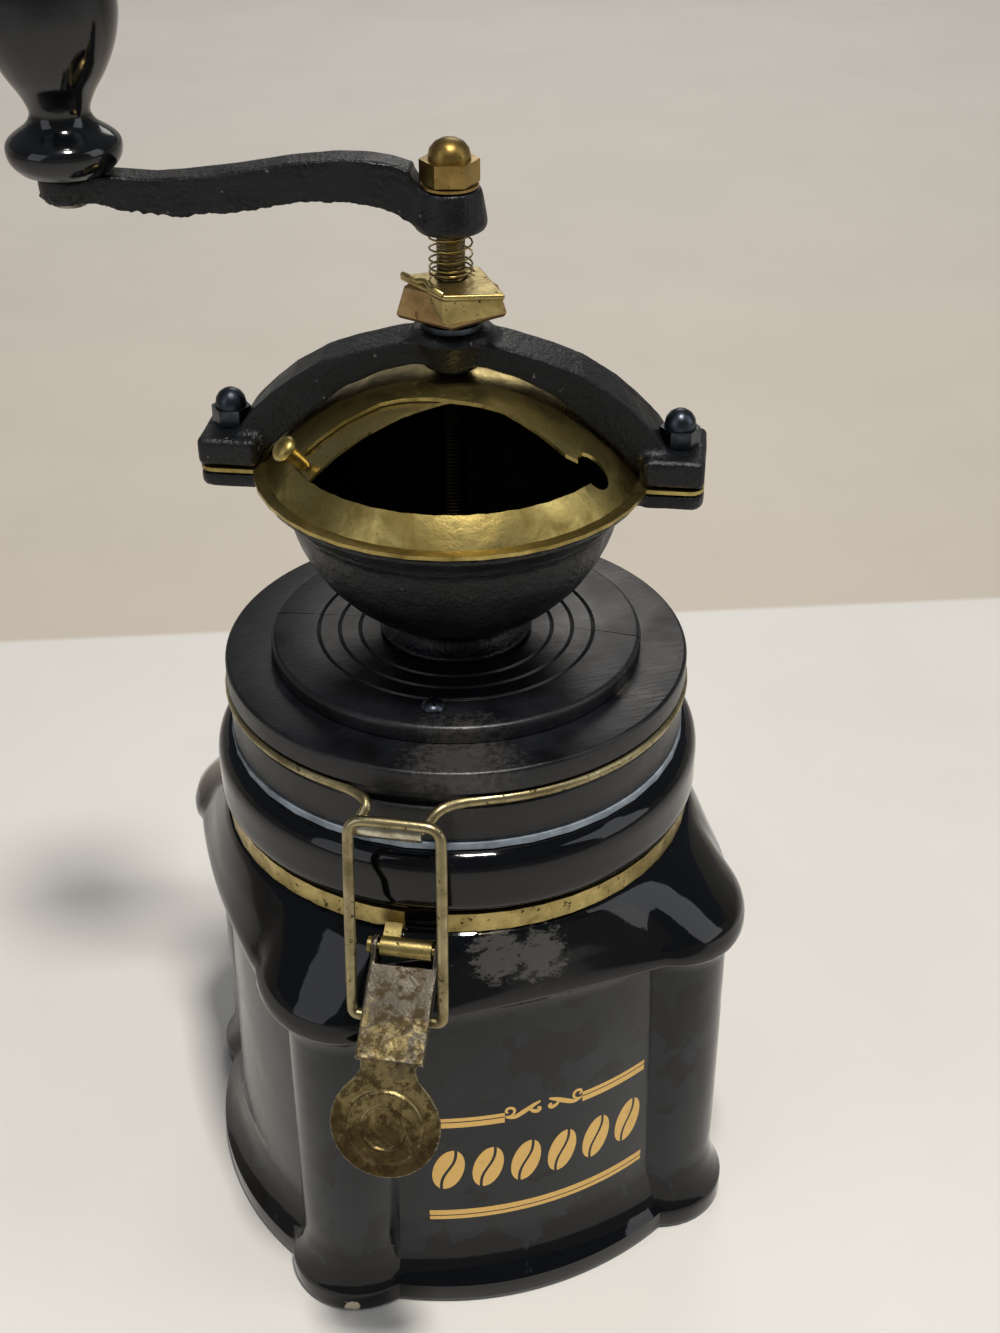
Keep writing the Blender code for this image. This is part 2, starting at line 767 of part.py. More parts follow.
def make_lever():
    top = Vector((lever_top_reach, lever_top_height))
    bend = Vector((lever_bend_reach, lever_bend_height))
    tip = Vector((lever_tip_reach, lever_tip_height))
    hinge = Vector((clip_hinge_reach, clip_hinge_height))
    along = (bend - top).normalized()
    inward = Vector((along.y, -along.x))
    if inward.y > 0:
        inward = -inward
    # The channel seen from its side: the web's line, the flanges' low edge and the eyes on the hinge
    start = math.degrees(math.atan2(top.y - hinge.y, top.x - hinge.x))
    side = arc(hinge, lever_eye_radius, start + 60.0, start + 300.0, 10)
    side += [top + inward * lever_flange + along * lever_flange, bend + inward * lever_flange * 0.6, bend,
             top]
    lever = prism("lever", side, lever_width, "worn plating", upright(clip_azimuth))
    # Its room lies behind the web, and is open above it between the eyes
    room = lever_width
    edge = top + along * weld_depth
    under_top = edge + inward * lever_sheet
    under_bend = bend + inward * lever_sheet + along * cut_over
    outline = [
        under_top, under_bend, under_bend + inward * room, under_top + (inward - along) * room,
        edge - (inward + along) * room, edge - inward * room]
    cut(lever, prism("lever_room", outline, lever_width - lever_sheet * 2, None, upright(clip_azimuth)))
    # The thumb plate lies in its own plane below the bend
    down = (tip - bend).normalized()
    length = (tip - bend).length
    centre = length - thumb_radius
    outline = []
    for share, width_share in neck_shares:
        outline.append((share * length, thumb_radius * width_share))
    opening = math.degrees(math.acos(min(1.0, (centre - neck_shares[-1][0] * length) / thumb_radius)))
    outline += arc((centre, 0.0), thumb_radius, 180.0 - opening, -180.0 + opening, 18)
    for share, width_share in reversed(neck_shares):
        outline.append((share * length, -thumb_radius * width_share))
    lean = math.atan2(down.y, down.x)
    frame = spin(clip_azimuth) @ Matrix.Translation((bend.x, 0.0, bend.y)) @ Matrix.Rotation(-lean, 4, "Y")
    sunk = Matrix.Translation((-weld_depth, 0.0, -lever_sheet / 2))
    join(lever, prism("thumb_plate", outline, lever_sheet, None, frame @ sunk))
    ring_profile = (
        (thumb_ring_radius - thumb_ring_width, thumb_ring_rise), (thumb_ring_radius, thumb_ring_rise),
        (thumb_ring_radius + thumb_ring_rise, -lever_sheet / 2),
        (thumb_ring_radius - thumb_ring_width - thumb_ring_rise, -lever_sheet / 2))
    ring = turned("thumb_ring", ring_profile, steps=middle_steps, closed=True)
    ring.matrix_world = frame @ Matrix.Translation((centre, 0.0, 0.0))
    join(lever, ring)
    cut(lever, knuckle("lever_hinge_bore", clip_hinge_reach, clip_hinge_height, clip_azimuth,
                       lever_width + cut_over, lever_pin_radius + fit_gap))
    cut(lever, knuckle("lever_bail_bore", bail_pivot_reach, bail_pivot_height, clip_azimuth,
                       lever_width + cut_over, bail_wire_radius + fit_gap))
    return lever


lever = make_lever()


def make_bail():
    half = bail_width / 2 - bail_wire_radius
    inside = lever_width / 2 - lever_sheet - fit_gap
    corners = (
        (bail_pivot_reach, -inside, bail_pivot_height), (bail_pivot_reach, -half, bail_pivot_height),
        (bail_top_reach, -half - bail_lean, bail_top_height),
        (bail_top_reach, half - bail_lean, bail_top_height),
        (bail_pivot_reach, half, bail_pivot_height), (bail_pivot_reach, inside, bail_pivot_height))
    bail = tube("bail_wire", rounded_route(corners, bail_corner, 5), bail_wire_radius, "aged brass")
    bail.matrix_world = spin(clip_azimuth)
    return bail


bail_wire = make_bail()


# Lid wire

def make_lid_wire():
    height = lid_bottom + lid_groove_bottom + lid_groove_height / 2
    half_nose = nose_width / 2 - lid_wire_radius
    half_arm = rear_arm_width / 2
    front = spin(clip_azimuth)
    rear = spin(rear_azimuth)
    # Angles where the ring leaves its groove, at the nose and at the arms
    nose_turn = math.degrees(half_nose / lid_wire_ring)
    arm_turn = math.degrees(half_arm / lid_wire_ring)
    nose_shift = math.degrees(nose_leg_lean / lid_wire_ring)
    spread = math.degrees(nose_corner * 2 / lid_wire_ring)

    def side_route(sign):
        # From the rear pivot round one side to the middle of the nose
        start = [
            rear @ Vector((rear_hinge_reach, sign * fit_gap * 2, rear_hinge_height)),
            rear @ Vector((rear_hinge_reach, sign * half_arm, rear_hinge_height)),
            rear @ Vector((rear_arm_reach, sign * half_arm, height - lid_wire_radius)),
            rear @ Vector((lid_wire_ring, sign * half_arm, height))]
        begin = rear_azimuth + sign * arm_turn
        end = clip_azimuth - nose_shift - sign * nose_turn - sign * spread
        sweep = (end - begin) * sign % 360.0
        count = round(sweep / lid_wire_step)
        ring = [
            Vector((*polar(lid_wire_ring, begin + sign * sweep * index / count), height))
            for index in range(1, count + 1)]
        across = -nose_lean - sign * half_nose
        leg = -nose_leg_lean - sign * half_nose
        finish = [
            ring[-1],
            front @ Vector((lid_wire_ring + lid_wire_radius * 2, leg, height)),
            front @ Vector((nose_reach, across, nose_height)),
            front @ Vector((nose_reach, -nose_lean, nose_height))]
        return rounded_route(start, rear_arm_corner) + ring[:-1] + rounded_route(finish, nose_corner)[:-1]

    left = side_route(1)
    right = side_route(-1)
    middle = front @ Vector((nose_reach, -nose_lean, nose_height))
    return tube("lid_wire", left + [middle] + right[::-1], lid_wire_radius, "aged brass")


lid_wire = make_lid_wire()


# Gasket, lid disc and raised disc

def make_gasket():
    inner = plug_radius + fit_gap
    top = gasket_bottom + gasket_thickness
    profile = ((inner, top), (gasket_radius, top), (gasket_radius, gasket_bottom), (inner, gasket_bottom))
    return turned("gasket", profile, "rubber", steps=fine_steps, closed=True)


gasket = make_gasket()


def make_lid_disc():
    groove_bottom = lid_bottom + lid_groove_bottom
    groove_top = groove_bottom + lid_groove_height
    groove_radius = lid_wire_ring - lid_wire_radius - fit_gap
    profile = (
        (lid_bore_radius, lid_top), (lid_radius - lid_edge_round, lid_top),
        (lid_radius, lid_top - lid_edge_round), (lid_radius, groove_top), (groove_radius, groove_top),
        (groove_radius, groove_bottom), (lid_lower_radius, groove_bottom),
        (lid_lower_radius, lid_bottom + lid_edge_round), (lid_lower_radius - lid_edge_round, lid_bottom),
        (plug_radius, lid_bottom), (plug_radius, plug_bottom), (lid_bore_radius, plug_bottom))
    return turned("lid_disc", profile, "black wood", steps=fine_steps, closed=True)


lid_disc = make_lid_disc()


def make_raised_disc():
    hole = spigot_radius + fit_gap
    edge = raised_radius - raised_edge_round
    grooves = []
    for radius in reversed(ring_groove_radii):
        grooves += [
            (radius - ring_groove_width / 2, raised_top), (radius, raised_top - ring_groove_depth),
            (radius + ring_groove_width / 2, raised_top)]
    profile = [(hole, raised_top)] + grooves + [
        (edge, raised_top), (raised_radius - raised_edge_round * 0.3, raised_top - raised_edge_round * 0.3),
        (raised_radius, raised_top - raised_edge_round), (raised_radius, raised_bottom), (hole,
                                                                                          raised_bottom)]
    return turned("raised_disc", profile, "black wood", steps=fine_steps, closed=True)


raised_disc = make_raised_disc()


def make_lid_screw(name, azimuth):
    x, y = polar(lid_screw_reach, azimuth)
    seat = raised_top + fit_gap
    profile = (
        (0.0, seat + lid_screw_rise), (lid_screw_head * 0.55, seat + lid_screw_rise * 0.85),
        (lid_screw_head * 0.9, seat + lid_screw_rise * 0.4), (lid_screw_head, seat),
        (lid_screw_shank, seat), (lid_screw_shank, seat - lid_screw_length), (0.0, seat - lid_screw_length))
    screw = turned(name, profile, "worn plating", steps=small_steps)
    screw.location = (x, y, 0.0)
    slot_top = seat + lid_screw_rise + cut_over
    slot_bottom = seat + lid_screw_rise - screw_slot_depth
    for turn in (20.0, 110.0):
        slot = block(name + "_slot", (lid_screw_head * 1.3, screw_slot_width, slot_top - slot_bottom),
                     (0.0, 0.0, (slot_top + slot_bottom) / 2))
        slot.matrix_world = Matrix.Translation((x, y, 0.0)) @ spin(azimuth + turn)
        cut(screw, slot)
    hole = lid_screw_shank + fit_gap
    bore(raised_disc, hole, raised_bottom - fit_gap / 2, raised_top + cut_over, x, y, steps=tiny_steps)
    bore(lid_disc, hole, seat - lid_screw_length - fit_gap, lid_top + fit_gap / 2, x, y, steps=tiny_steps)
    return screw


lid_screws = [
    make_lid_screw("lid_screw_" + side, azimuth) for side, azimuth in zip(("front", "rear"),
                                                                          lid_screw_azimuths)]


# Hopper bowl with its two lugs

bowl_centre = bowl_top - bowl_centre_drop


def bowl_arc(radius, top_height, low_radius, count):
    # Down the bowl from a height to where it meets the neck or the throat
    start = -math.degrees(math.asin((bowl_centre - top_height) / radius))
    end = -math.degrees(math.acos(low_radius / radius))
    return arc((0.0, bowl_centre), radius, start, end, count)


def make_hopper():
    inner_radius = bowl_radius - bowl_wall
    bead_height = bowl_top - bead_drop
    outer_arc = bowl_arc(bowl_radius, bead_height - bead_rise, neck_outer_radius, 10)
    bead_radius = outer_arc[0][0]
    outer = [
        (bowl_rim_radius, bowl_top), (bowl_rim_radius, bowl_top - bowl_rim_height),
        (bead_radius + bead_rise * 2, bead_height + bead_rise * 1.5), (bead_radius + bead_rise * 2,
                                                                       bead_height)]
    outer += outer_arc
    outer += [
        ((neck_outer_radius + foot_radius) / 2, bowl_bottom + foot_height * 1.6),
        (foot_radius, bowl_bottom + foot_height), (foot_radius, bowl_bottom),
        (spigot_radius, bowl_bottom), (spigot_radius, bowl_bottom - spigot_length),
        (throat_radius, bowl_bottom - spigot_length)]
    inner = bowl_arc(inner_radius, bead_height, throat_radius, 8)
    inner.reverse()
    hollow = bowl_rim_radius - bowl_wall
    profile = outer + inner + [(hollow, bowl_top - bowl_rim_height), (hollow, bowl_top)]
    hopper = turned("hopper_bowl", profile, "cast iron", steps=bowl_steps, closed=True)
    for name, turn in (("lug_left", 180.0), ("lug_right", 0.0)):
        half = yoke_foot_width / 2
        end = yoke_span
        start = bowl_rim_radius - weld_depth * 2
        outline = [(start, -half)] + arc((end - lug_corner, -half + lug_corner), lug_corner, -90.0, 0.0, 4)
        outline += arc((end - lug_corner, half - lug_corner), lug_corner, 0.0, 90.0, 4) + [(start, half)]
        middle = (lug_bottom + bowl_top) / 2
        join(hopper, prism(name, outline, lug_thickness, None,
                           spin(yoke_azimuth + turn) @ Matrix.Translation((0.0, 0.0, middle))))
    for turn in (0.0, 180.0):
        x, y = polar(bolt_reach, yoke_azimuth + turn)
        bore(hopper, bolt_radius + fit_gap, lug_bottom - cut_over, bowl_top + cut_over, x, y,
             steps=tiny_steps)
    return hopper


hopper_bowl = make_hopper()


# Fixed cover, sliding cover and its knob

dome_shares = (1.0, 0.94, 0.86, 0.75, 0.61, 0.43, 0.25)
dome_round = (cover_dome_radius ** 2 + cover_dome_rise ** 2) / (2 * cover_dome_rise)


def dome_height(radius):
    # Part of a sphere that meets the flat rim at the dome's radius
    return cover_top + cover_dome_rise - dome_round + math.sqrt(dome_round ** 2 - radius ** 2)


# The opening's inner edge, from left to right in front of the shaft, in shares of its radius
opening_edge_shares = (
    (-0.931, -0.051), (-0.708, -0.081), (-0.477, -0.118), (-0.368, -0.157), (-0.214, -0.243), (-0.078,
                                                                                               -0.326),
    (0.043, -0.381), (0.142, -0.439), (0.237, -0.518), (0.327, -0.607), (0.445, -0.712))


def make_cover_fixed():
    outer = [(cover_eye_radius, dome_height(cover_eye_radius))]
    outer += [(share * cover_dome_radius,
               dome_height(share * cover_dome_radius)) for share in reversed(dome_shares)]
    outer.append((cover_rim_radius, cover_top))
    inner = [(radius, height - cover_sheet) for radius, height in reversed(outer)]
    cover = turned("cover_fixed", outer + inner, "aged brass", steps=fine_steps, closed=True)
    half = yoke_foot_width / 2
    start = cover_dome_radius + fit_gap
    for name, turn in (("ear_left", 180.0), ("ear_right", 0.0)):
        outline = [(start, -half)] + arc((yoke_span - lug_corner, -half + lug_corner), lug_corner, -90.0,
                                         0.0, 4)
        outline += arc((yoke_span - lug_corner, half - lug_corner), lug_corner, 0.0, 90.0,
                       4) + [(start, half)]
        middle = (cover_bottom + cover_top) / 2
        join(cover, prism(name, outline, cover_sheet, None,
                          spin(yoke_azimuth + turn) @ Matrix.Translation((0.0, 0.0, middle))))
    outline = arc((0.0, 0.0), opening_radius, opening_right_azimuth, opening_left_azimuth, 24)
    outline += [(opening_radius * x_share, opening_radius * y_share) for x_share,
                y_share in opening_edge_shares]
    low = cover_bottom - cut_over
    high = cover_top + cover_dome_rise + cut_over
    cut(cover, prism("cover_opening", outline, high - low, None,
                     Matrix.Translation((0.0, 0.0, (low + high) / 2))))
    x, y = polar(knob_notch_reach, knob_notch_azimuth)
    bore(cover, knob_notch_radius, low, high, x, y)
    for turn in (0.0, 180.0):
        x, y = polar(bolt_reach, yoke_azimuth + turn)
        bore(cover, bolt_radius + fit_gap, low, cover_top + cut_over, x, y, steps=tiny_steps)
    return cover


cover_fixed = make_cover_fixed()
slider_drop = cover_sheet + fit_gap


def make_cover_slider():
    edge = bowl_rim_radius - bowl_wall - fit_gap
    radii = [cover_eye_radius] + [share * edge for share in reversed(dome_shares)]
    outer = [(radius, dome_height(radius) - slider_drop) for radius in radii]
    inner = [(radius, height - slider_sheet) for radius, height in reversed(outer)]
    slider = turned("cover_slider", outer + inner, "aged brass", steps=fine_steps, closed=True)
    room = edge + cut_over
    low = cover_bottom - cut_over
    high = cover_top + cover_dome_rise + cut_over
    # Its leading edge is a straight cut in front of the shaft
    outline = [(slider_edge_reach, -room), (room, -room), (room, room), (slider_edge_reach, room)]
    cut(slider, prism("slider_front", outline, high - low, None,
                      spin(slider_edge_azimuth) @ Matrix.Translation((0.0, 0.0, (low + high) / 2))))
    return slider


cover_slider = make_cover_slider()


def make_cover_knob():
    # The stem stands square to the dome and its foot keeps the usual gap from it
    lean = math.asin(slider_knob_reach / dome_round)
    foot = fit_gap
    neck = foot + slider_stem_length
    top = neck + slider_knob_height
    flat = slider_knob_radius * slider_knob_flat_share
    profile = (
        (0.0, top), (flat, top - slider_knob_height * 0.08), (slider_knob_radius * 0.85,
                                                              top - slider_knob_height * 0.35),
        (slider_knob_radius, neck + slider_knob_height * 0.3), (slider_knob_radius * 0.9, neck),
        (slider_stem_radius, neck), (slider_stem_radius, foot), (0.0, foot))
    knob = turned("cover_knob", profile, "aged brass", steps=small_steps)
    height = dome_height(slider_knob_reach) - slider_drop
    knob.matrix_world = spin(slider_knob_azimuth) @ Matrix.Translation(
        (slider_knob_reach, 0.0, height)) @ Matrix.Rotation(lean, 4, "Y")
    return knob


cover_knob = make_cover_knob()


# Yoke, its bolts and nuts

outer_arch_shares = ((1.0, 0.0), (0.92, 0.232), (0.819, 0.437), (0.721, 0.594), (0.578, 0.769),
                     (0.4375, 0.873), (0.254, 0.974), (0.19, 1.0))
inner_arch_shares = ((1.0, 0.096), (0.918, 0.199), (0.788, 0.370), (0.627, 0.558), (0.412, 0.710),
                     (0.218, 0.794))


def make_yoke():
    foot_top = foot_bottom + yoke_foot_height
    base = lid_top
    spring_line = foot_top - weld_depth * 3
    rise = base + yoke_apex_height - spring_line
    outer = [(yoke_arch_outer * share, spring_line + rise * height) for share, height in outer_arch_shares]
    inner = [(yoke_arch_inner * share, spring_line + rise * height) for share, height in inner_arch_shares]
    outer.insert(0, (yoke_arch_outer, foot_bottom + weld_depth))
    inner.insert(0, (yoke_foot_inner + weld_depth * 2, foot_bottom + weld_depth))
    right = outer
    left = [(-x, z) for x, z in reversed(outer)]
    inner_left = [(-x, z) for x, z in inner]
    inner_right = list(reversed(inner))
    outline = right + left + inner_left + inner_right
    yoke = prism("yoke", outline, yoke_arch_width, "cast iron", upright(yoke_azimuth))
    for name, sign in (("foot_left", -1), ("foot_right", 1)):
        length = yoke_span - yoke_foot_inner
        foot = block(name, (length, yoke_foot_width, yoke_foot_height),
                     (sign * (yoke_foot_inner + length / 2), 0.0, foot_bottom + yoke_foot_height / 2))
        soften(foot, yoke_edge_round)
        foot.matrix_world = spin(yoke_azimuth)
        join(yoke, foot)
    profile = (
        (0.0, base + boss_top), (boss_top_radius * 0.93, base + boss_top),
        (boss_top_radius, base + yoke_apex_height + weld_depth),
        (boss_middle_radius, base + boss_middle),
        (boss_bottom_radius, base + boss_bottom), (boss_collar_radius, base + boss_bottom),
        (boss_collar_radius, base + boss_collar_bottom), (0.0, base + boss_collar_bottom))
    join(yoke, turned("yoke_boss", profile, steps=middle_steps))
    bore(yoke, shaft_radius + fit_gap, base + boss_collar_bottom - cut_over, base + boss_top + cut_over)
    for turn in (0.0, 180.0):
        x, y = polar(bolt_reach, yoke_azimuth + turn)
        bore(yoke, bolt_radius + fit_gap, foot_bottom - cut_over, foot_top + cut_over, x, y,
             steps=tiny_steps)
        # A spot face gives each nut its room beside the arch
        bore(yoke, acorn_flats / math.sqrt(3.0) + fit_gap, foot_top, foot_top + acorn_height, x, y,
             steps=middle_steps)
    return yoke


yoke = make_yoke()
nut_seat = foot_bottom + yoke_foot_height + fit_gap


def make_bolt(name, turn):
    x, y = polar(bolt_reach, yoke_azimuth + turn)
    seat = lug_bottom - fit_gap
    end = nut_seat + acorn_height * 0.6
    profile = (
        (0.0, end), (bolt_radius, end), (bolt_radius, seat), (bolt_head_radius, seat),
        (bolt_head_radius, seat - bolt_head_height * 0.6), (bolt_head_radius * 0.7,
                                                            seat - bolt_head_height),
        (0.0, seat - bolt_head_height))
    bolt = turned(name, profile, "dark steel", steps=small_steps)
    bolt.location = (x, y, 0.0)
    return bolt


def make_domed_nut(name, flats, hex_height, height, dome_radius, seat, hole, x, y, finish, turn=0.0):
    corner = flats / math.sqrt(3.0)
    nut = cylinder(name, corner, seat, seat + hex_height, finish, steps=6, turn=turn)
    nut.location = (x, y, 0.0)
    shoulder = seat + hex_height - weld_depth
    rise = seat + height - shoulder
    profile = [(0.0, seat + height)]
    profile += [
        (dome_radius * math.sin(math.radians(angle)),
         seat + height - rise * 0.75 * (1 - math.cos(math.radians(angle))))
        for angle in (22.5, 45.0, 67.5, 90.0)]
    profile += [(dome_radius, shoulder), (0.0, shoulder)]
    dome = turned(name + "_dome", profile, steps=small_steps)
    dome.location = (x, y, 0.0)
    join(nut, dome)
    cutter = cylinder(name + "_thread", hole, seat - cut_over, seat + height * 0.85, steps=tiny_steps)
    cutter.location = (x, y, 0.0)
    return cut(nut, cutter)


bolts = []
acorns = []
for side, turn in (("right", 0.0), ("left", 180.0)):
    bolt_x, bolt_y = polar(bolt_reach, yoke_azimuth + turn)
    bolts.append(make_bolt("yoke_bolt_" + side, turn))
    acorns.append(make_domed_nut(
        "acorn_nut_" + side, acorn_flats, acorn_hex_height, acorn_height, acorn_dome_radius, nut_seat,
        bolt_radius + fit_gap, bolt_x, bolt_y, "dark steel", turn=10.0))


# Shaft, bush, adjusting nut, lock clip and spring

shaft = cylinder("shaft", shaft_radius, shaft_bottom, shaft_top, "steel", steps=small_steps)
bush = bore(cylinder("bush", bush_radius, bush_bottom, bush_top, "steel", steps=middle_steps),
            shaft_radius + fit_gap,
            bush_bottom - cut_over, bush_top + cut_over)


def make_adjuster():
    # A four-sided skirt, wider below than above
    bm = bmesh.new()
    rows = []
    for long_reach, short_reach, height in (
            (adjuster_low_long, adjuster_low_short, adjuster_bottom),
            (adjuster_top_long, adjuster_top_short, adjuster_top)):
        corners = ((long_reach, 0.0), (0.0, short_reach), (-long_reach, 0.0), (0.0, -short_reach))
        rows.append([bm.verts.new((x, y, height)) for x, y in corners])
    for index in range(4):
        following = (index + 1) % 4
        bm.faces.new((rows[0][index], rows[0][following], rows[1][following], rows[1][index]))
    bm.faces.new(list(reversed(rows[0])))
    bm.faces.new(rows[1])
    adjuster = mesh_object("adjusting_nut", bm, "aged brass")
    adjuster.matrix_world = spin(adjuster_azimuth)
    soften(adjuster, adjuster_height * 0.12)
    return bore(adjuster, shaft_radius + fit_gap, adjuster_bottom - cut_over, adjuster_top + cut_over)


adjuster_azimuth = -17.3
adjusting_nut = make_adjuster()


def make_lock_clip():
    middle = (clip_bottom + clip_top) / 2
    clip = prism("lock_clip", clip_plate_corners, clip_sheet, "aged brass",
                 Matrix.Translation((0.0, 0.0, middle)))
    left, right = Vector(clip_plate_corners[3]), Vector(clip_plate_corners[2])
    along = right - left
    flange = ((weld_depth, -weld_depth), (along.length - weld_depth, -weld_depth),
              (along.length - weld_depth, -clip_flange_shallow), (weld_depth, -clip_flange_deep))
    azimuth = math.degrees(math.atan2(along.y, along.x))
    inset = Matrix.Translation((left.x, left.y, clip_top)) @ spin(azimuth) @ Matrix.Rotation(
        math.radians(90.0), 4, "X") @ Matrix.Translation((0.0, 0.0, -clip_sheet / 2 - weld_depth / 2))
    join(clip, prism("clip_flange", flange, clip_sheet, None, inset))
    # The left edge folds down only near the front, clear of the nut's point
    back = Vector(clip_plate_corners[0]).lerp(left, clip_fold_start_share)
    along = left - back
    fold = ((0.0, -weld_depth), (along.length - weld_depth, -weld_depth),
            (along.length - weld_depth, -clip_flange_deep + weld_depth), (0.0, -clip_fold_depth))
    azimuth = math.degrees(math.atan2(along.y, along.x))
    inset = Matrix.Translation((back.x, back.y, clip_top)) @ spin(azimuth) @ Matrix.Rotation(
        math.radians(90.0), 4, "X") @ Matrix.Translation((0.0, 0.0, -clip_sheet / 2 - weld_depth / 2))
    join(clip, prism("clip_fold", fold, clip_sheet, None, inset))
    return bore(clip, shaft_radius + fit_gap, clip_bottom - cut_over, clip_top + cut_over)


lock_clip = make_lock_clip()


def make_spring():
    # Close turns below and open turns above, as one tube with straight ends
    low = clip_top + fit_gap + spring_wire_radius
    diameter = spring_wire_radius * 2
    turns = spring_close_turns + spring_open_turns
    count = round(turns * spring_points_per_turn)
    rise = spring_close_turns * spring_close_pitch + spring_open_turns * spring_open_pitch
    room = hub_bottom - fit_gap - spring_wire_radius - low
    stretch = room / rise
    route = []
    for index in range(count + 1):
        turn = turns * index / count
        close = min(turn, spring_close_turns)
        height = low + stretch * (close * spring_close_pitch + (turn - close) * spring_open_pitch)
        x, y = polar(spring_mean_radius, 360.0 * turn)
        route.append(Vector((x, y, height)))
    route.insert(0, route[0] + (route[0] - route[1]).normalized() * diameter)
    route.append(route[-1] + (route[-1] - route[-2]).normalized() * diameter)
    route[0].z = route[1].z
    route[-1].z = route[-2].z
    least = min(
        (first - second).length for index, first in enumerate(route)
        for second in route[index + spring_points_per_turn // 2:]) - diameter
    print("spring: least gap to itself in mm", round(least * 1000, 3))
    return tube("spring", route, spring_wire_radius, "steel", resolution=1)


spring = make_spring()


# Crank arm, washer and nut

arm_top_shares = ((0.097, 1.042), (0.15, 1.055), (0.22, 1.060), (0.30, 1.060), (0.43, 1.049), (0.60, 1.026),
                  (0.77, 1.014), (0.90, 1.018))
arm_low_shares = ((0.96, 0.966), (0.84, 0.950), (0.717, 0.943), (0.589, 0.950), (0.46, 0.966),
                  (0.353, 0.978),
                  (0.252, 0.978), (0.169, 0.966), (0.113, 0.948), (0.065, 0.930))


def make_crank_arm():
    # Heights are shares of the arm's rise above the lid disc
    arm_height = crank_arm_rise
    top = [(crank_reach * share, lid_top + arm_height * rise) for share, rise in arm_top_shares]
    low = [(crank_reach * share, lid_top + arm_height * rise) for share, rise in arm_low_shares]
    arm = prism("crank_arm", top + [(crank_reach, pad_top - fit_gap)] + low, crank_arm_width, "cast iron",
                upright(crank_azimuth))
    soften(arm, crank_edge_round)
    x, y = polar(crank_reach, crank_azimuth)
    pad_round = crank_edge_round
    pad_profile = (
        (0.0, pad_top), (crank_pad_radius - pad_round, pad_top), (crank_pad_radius, pad_top - pad_round),
        (crank_pad_radius * 0.96, pad_bottom + pad_round), (crank_pad_radius * 0.86,
                                                            pad_bottom - weld_depth),
        (0.0, pad_bottom - weld_depth))
    pad = turned("crank_pad", pad_profile, steps=middle_steps)
    pad.location = (x, y, 0.0)
    join(arm, pad)
    hub_profile = (
        (0.0, hub_top + weld_depth), (crank_hub_top_radius * 0.93, hub_top + weld_depth),
        (crank_hub_top_radius, hub_top - crank_edge_round * 0.5),
        (crank_hub_low_radius, hub_bottom + crank_edge_round), (crank_hub_low_radius * 0.93, hub_bottom),
        (0.0, hub_bottom))
    join(arm, turned("crank_hub", hub_profile, steps=middle_steps))
    # The top of the hub is faced flat for the washer
    face = crank_washer_radius + crank_edge_round
    bore(arm, face, hub_top, hub_top + crank_hub_height, steps=middle_steps)
    bore(arm, shaft_radius + fit_gap, hub_bottom - cut_over, hub_top + cut_over)
    # One stepped cutter makes the pin's hole and the flat below it for the pin's head
    hole = knob_pin_radius + fit_gap
    flat = knob_pin_head_radius + fit_gap
    pin_room = turned("crank_pin_room", (
        (0.0, pad_top + cut_over), (hole, pad_top + cut_over), (hole, pad_bottom), (flat, pad_bottom),
        (flat, pad_bottom - cut_over), (0.0, pad_bottom - cut_over)), steps=small_steps)
    pin_room.location = (x, y, 0.0)
    return cut(arm, pin_room)


crank_arm = make_crank_arm()
crank_washer = bore(
    cylinder("crank_washer", crank_washer_radius, washer_bottom, washer_top, "steel", steps=middle_steps),
    shaft_radius + fit_gap, washer_bottom - cut_over, washer_top + cut_over)
crank_nut = make_domed_nut(
    "crank_nut", crank_nut_flats, crank_nut_hex_height, crank_nut_height, crank_nut_dome_radius, nut_bottom,
    shaft_radius + fit_gap, 0.0, 0.0, "aged brass", turn=13.0)


# Handle knob and its pin

knob_shares = ((0.0, 1.0), (0.30, 0.992), (0.60, 0.955), (0.85, 0.885), (0.975, 0.79), (1.0, 0.69),
               (0.985, 0.60),
               (0.90, 0.50), (0.74, 0.40), (0.56, 0.32), (0.46, 0.26), (0.45, 0.225), (0.54, 0.185), (0.74,
                                                                                                      0.145),
               (0.84, 0.115), (0.853, 0.075), (0.80, 0.035), (0.68, 0.0), (0.0, 0.0))


def make_handle_knob():
    x, y = polar(crank_reach, crank_azimuth)
    profile = [(knob_bulb_radius * radius, knob_bottom + knob_height * height) for radius,
               height in knob_shares]
    knob = turned("handle_knob", profile, "lacquer", steps=middle_steps)
    knob.location = (x, y, 0.0)
    top = knob_bottom + knob_height
    bore(knob, knob_pin_radius + fit_gap, knob_bottom - cut_over, top + cut_over, x, y, steps=tiny_steps)
    bore(knob, knob_pin_head_radius + fit_gap, top - knob_counterbore_depth, top + cut_over, x, y,
         steps=small_steps)
    return knob


handle_knob = make_handle_knob()


def make_knob_pin():
    x, y = polar(crank_reach, crank_azimuth)
    head_seat = knob_bottom + knob_height - knob_counterbore_depth + fit_gap
    head_top = head_seat + knob_pin_head_height
    foot_seat = pad_bottom - fit_gap
    foot_low = foot_seat - knob_pin_head_height
    profile = (
        (0.0, head_top), (knob_pin_head_radius * 0.8, head_top - knob_pin_head_height * 0.15),
        (knob_pin_head_radius, head_seat + knob_pin_head_height * 0.4), (knob_pin_head_radius, head_seat),
        (knob_pin_radius, head_seat), (knob_pin_radius, foot_seat), (knob_pin_head_radius * 0.9, foot_seat),
        (knob_pin_head_radius * 0.8, foot_seat - knob_pin_head_height * 0.7), (0.0, foot_low))
    pin = turned("knob_pin", profile, "steel", steps=small_steps)
    pin.location = (x, y, 0.0)
    return pin


knob_pin = make_knob_pin()


# Burr ring, burr cone, their nut and screws, and the bridge

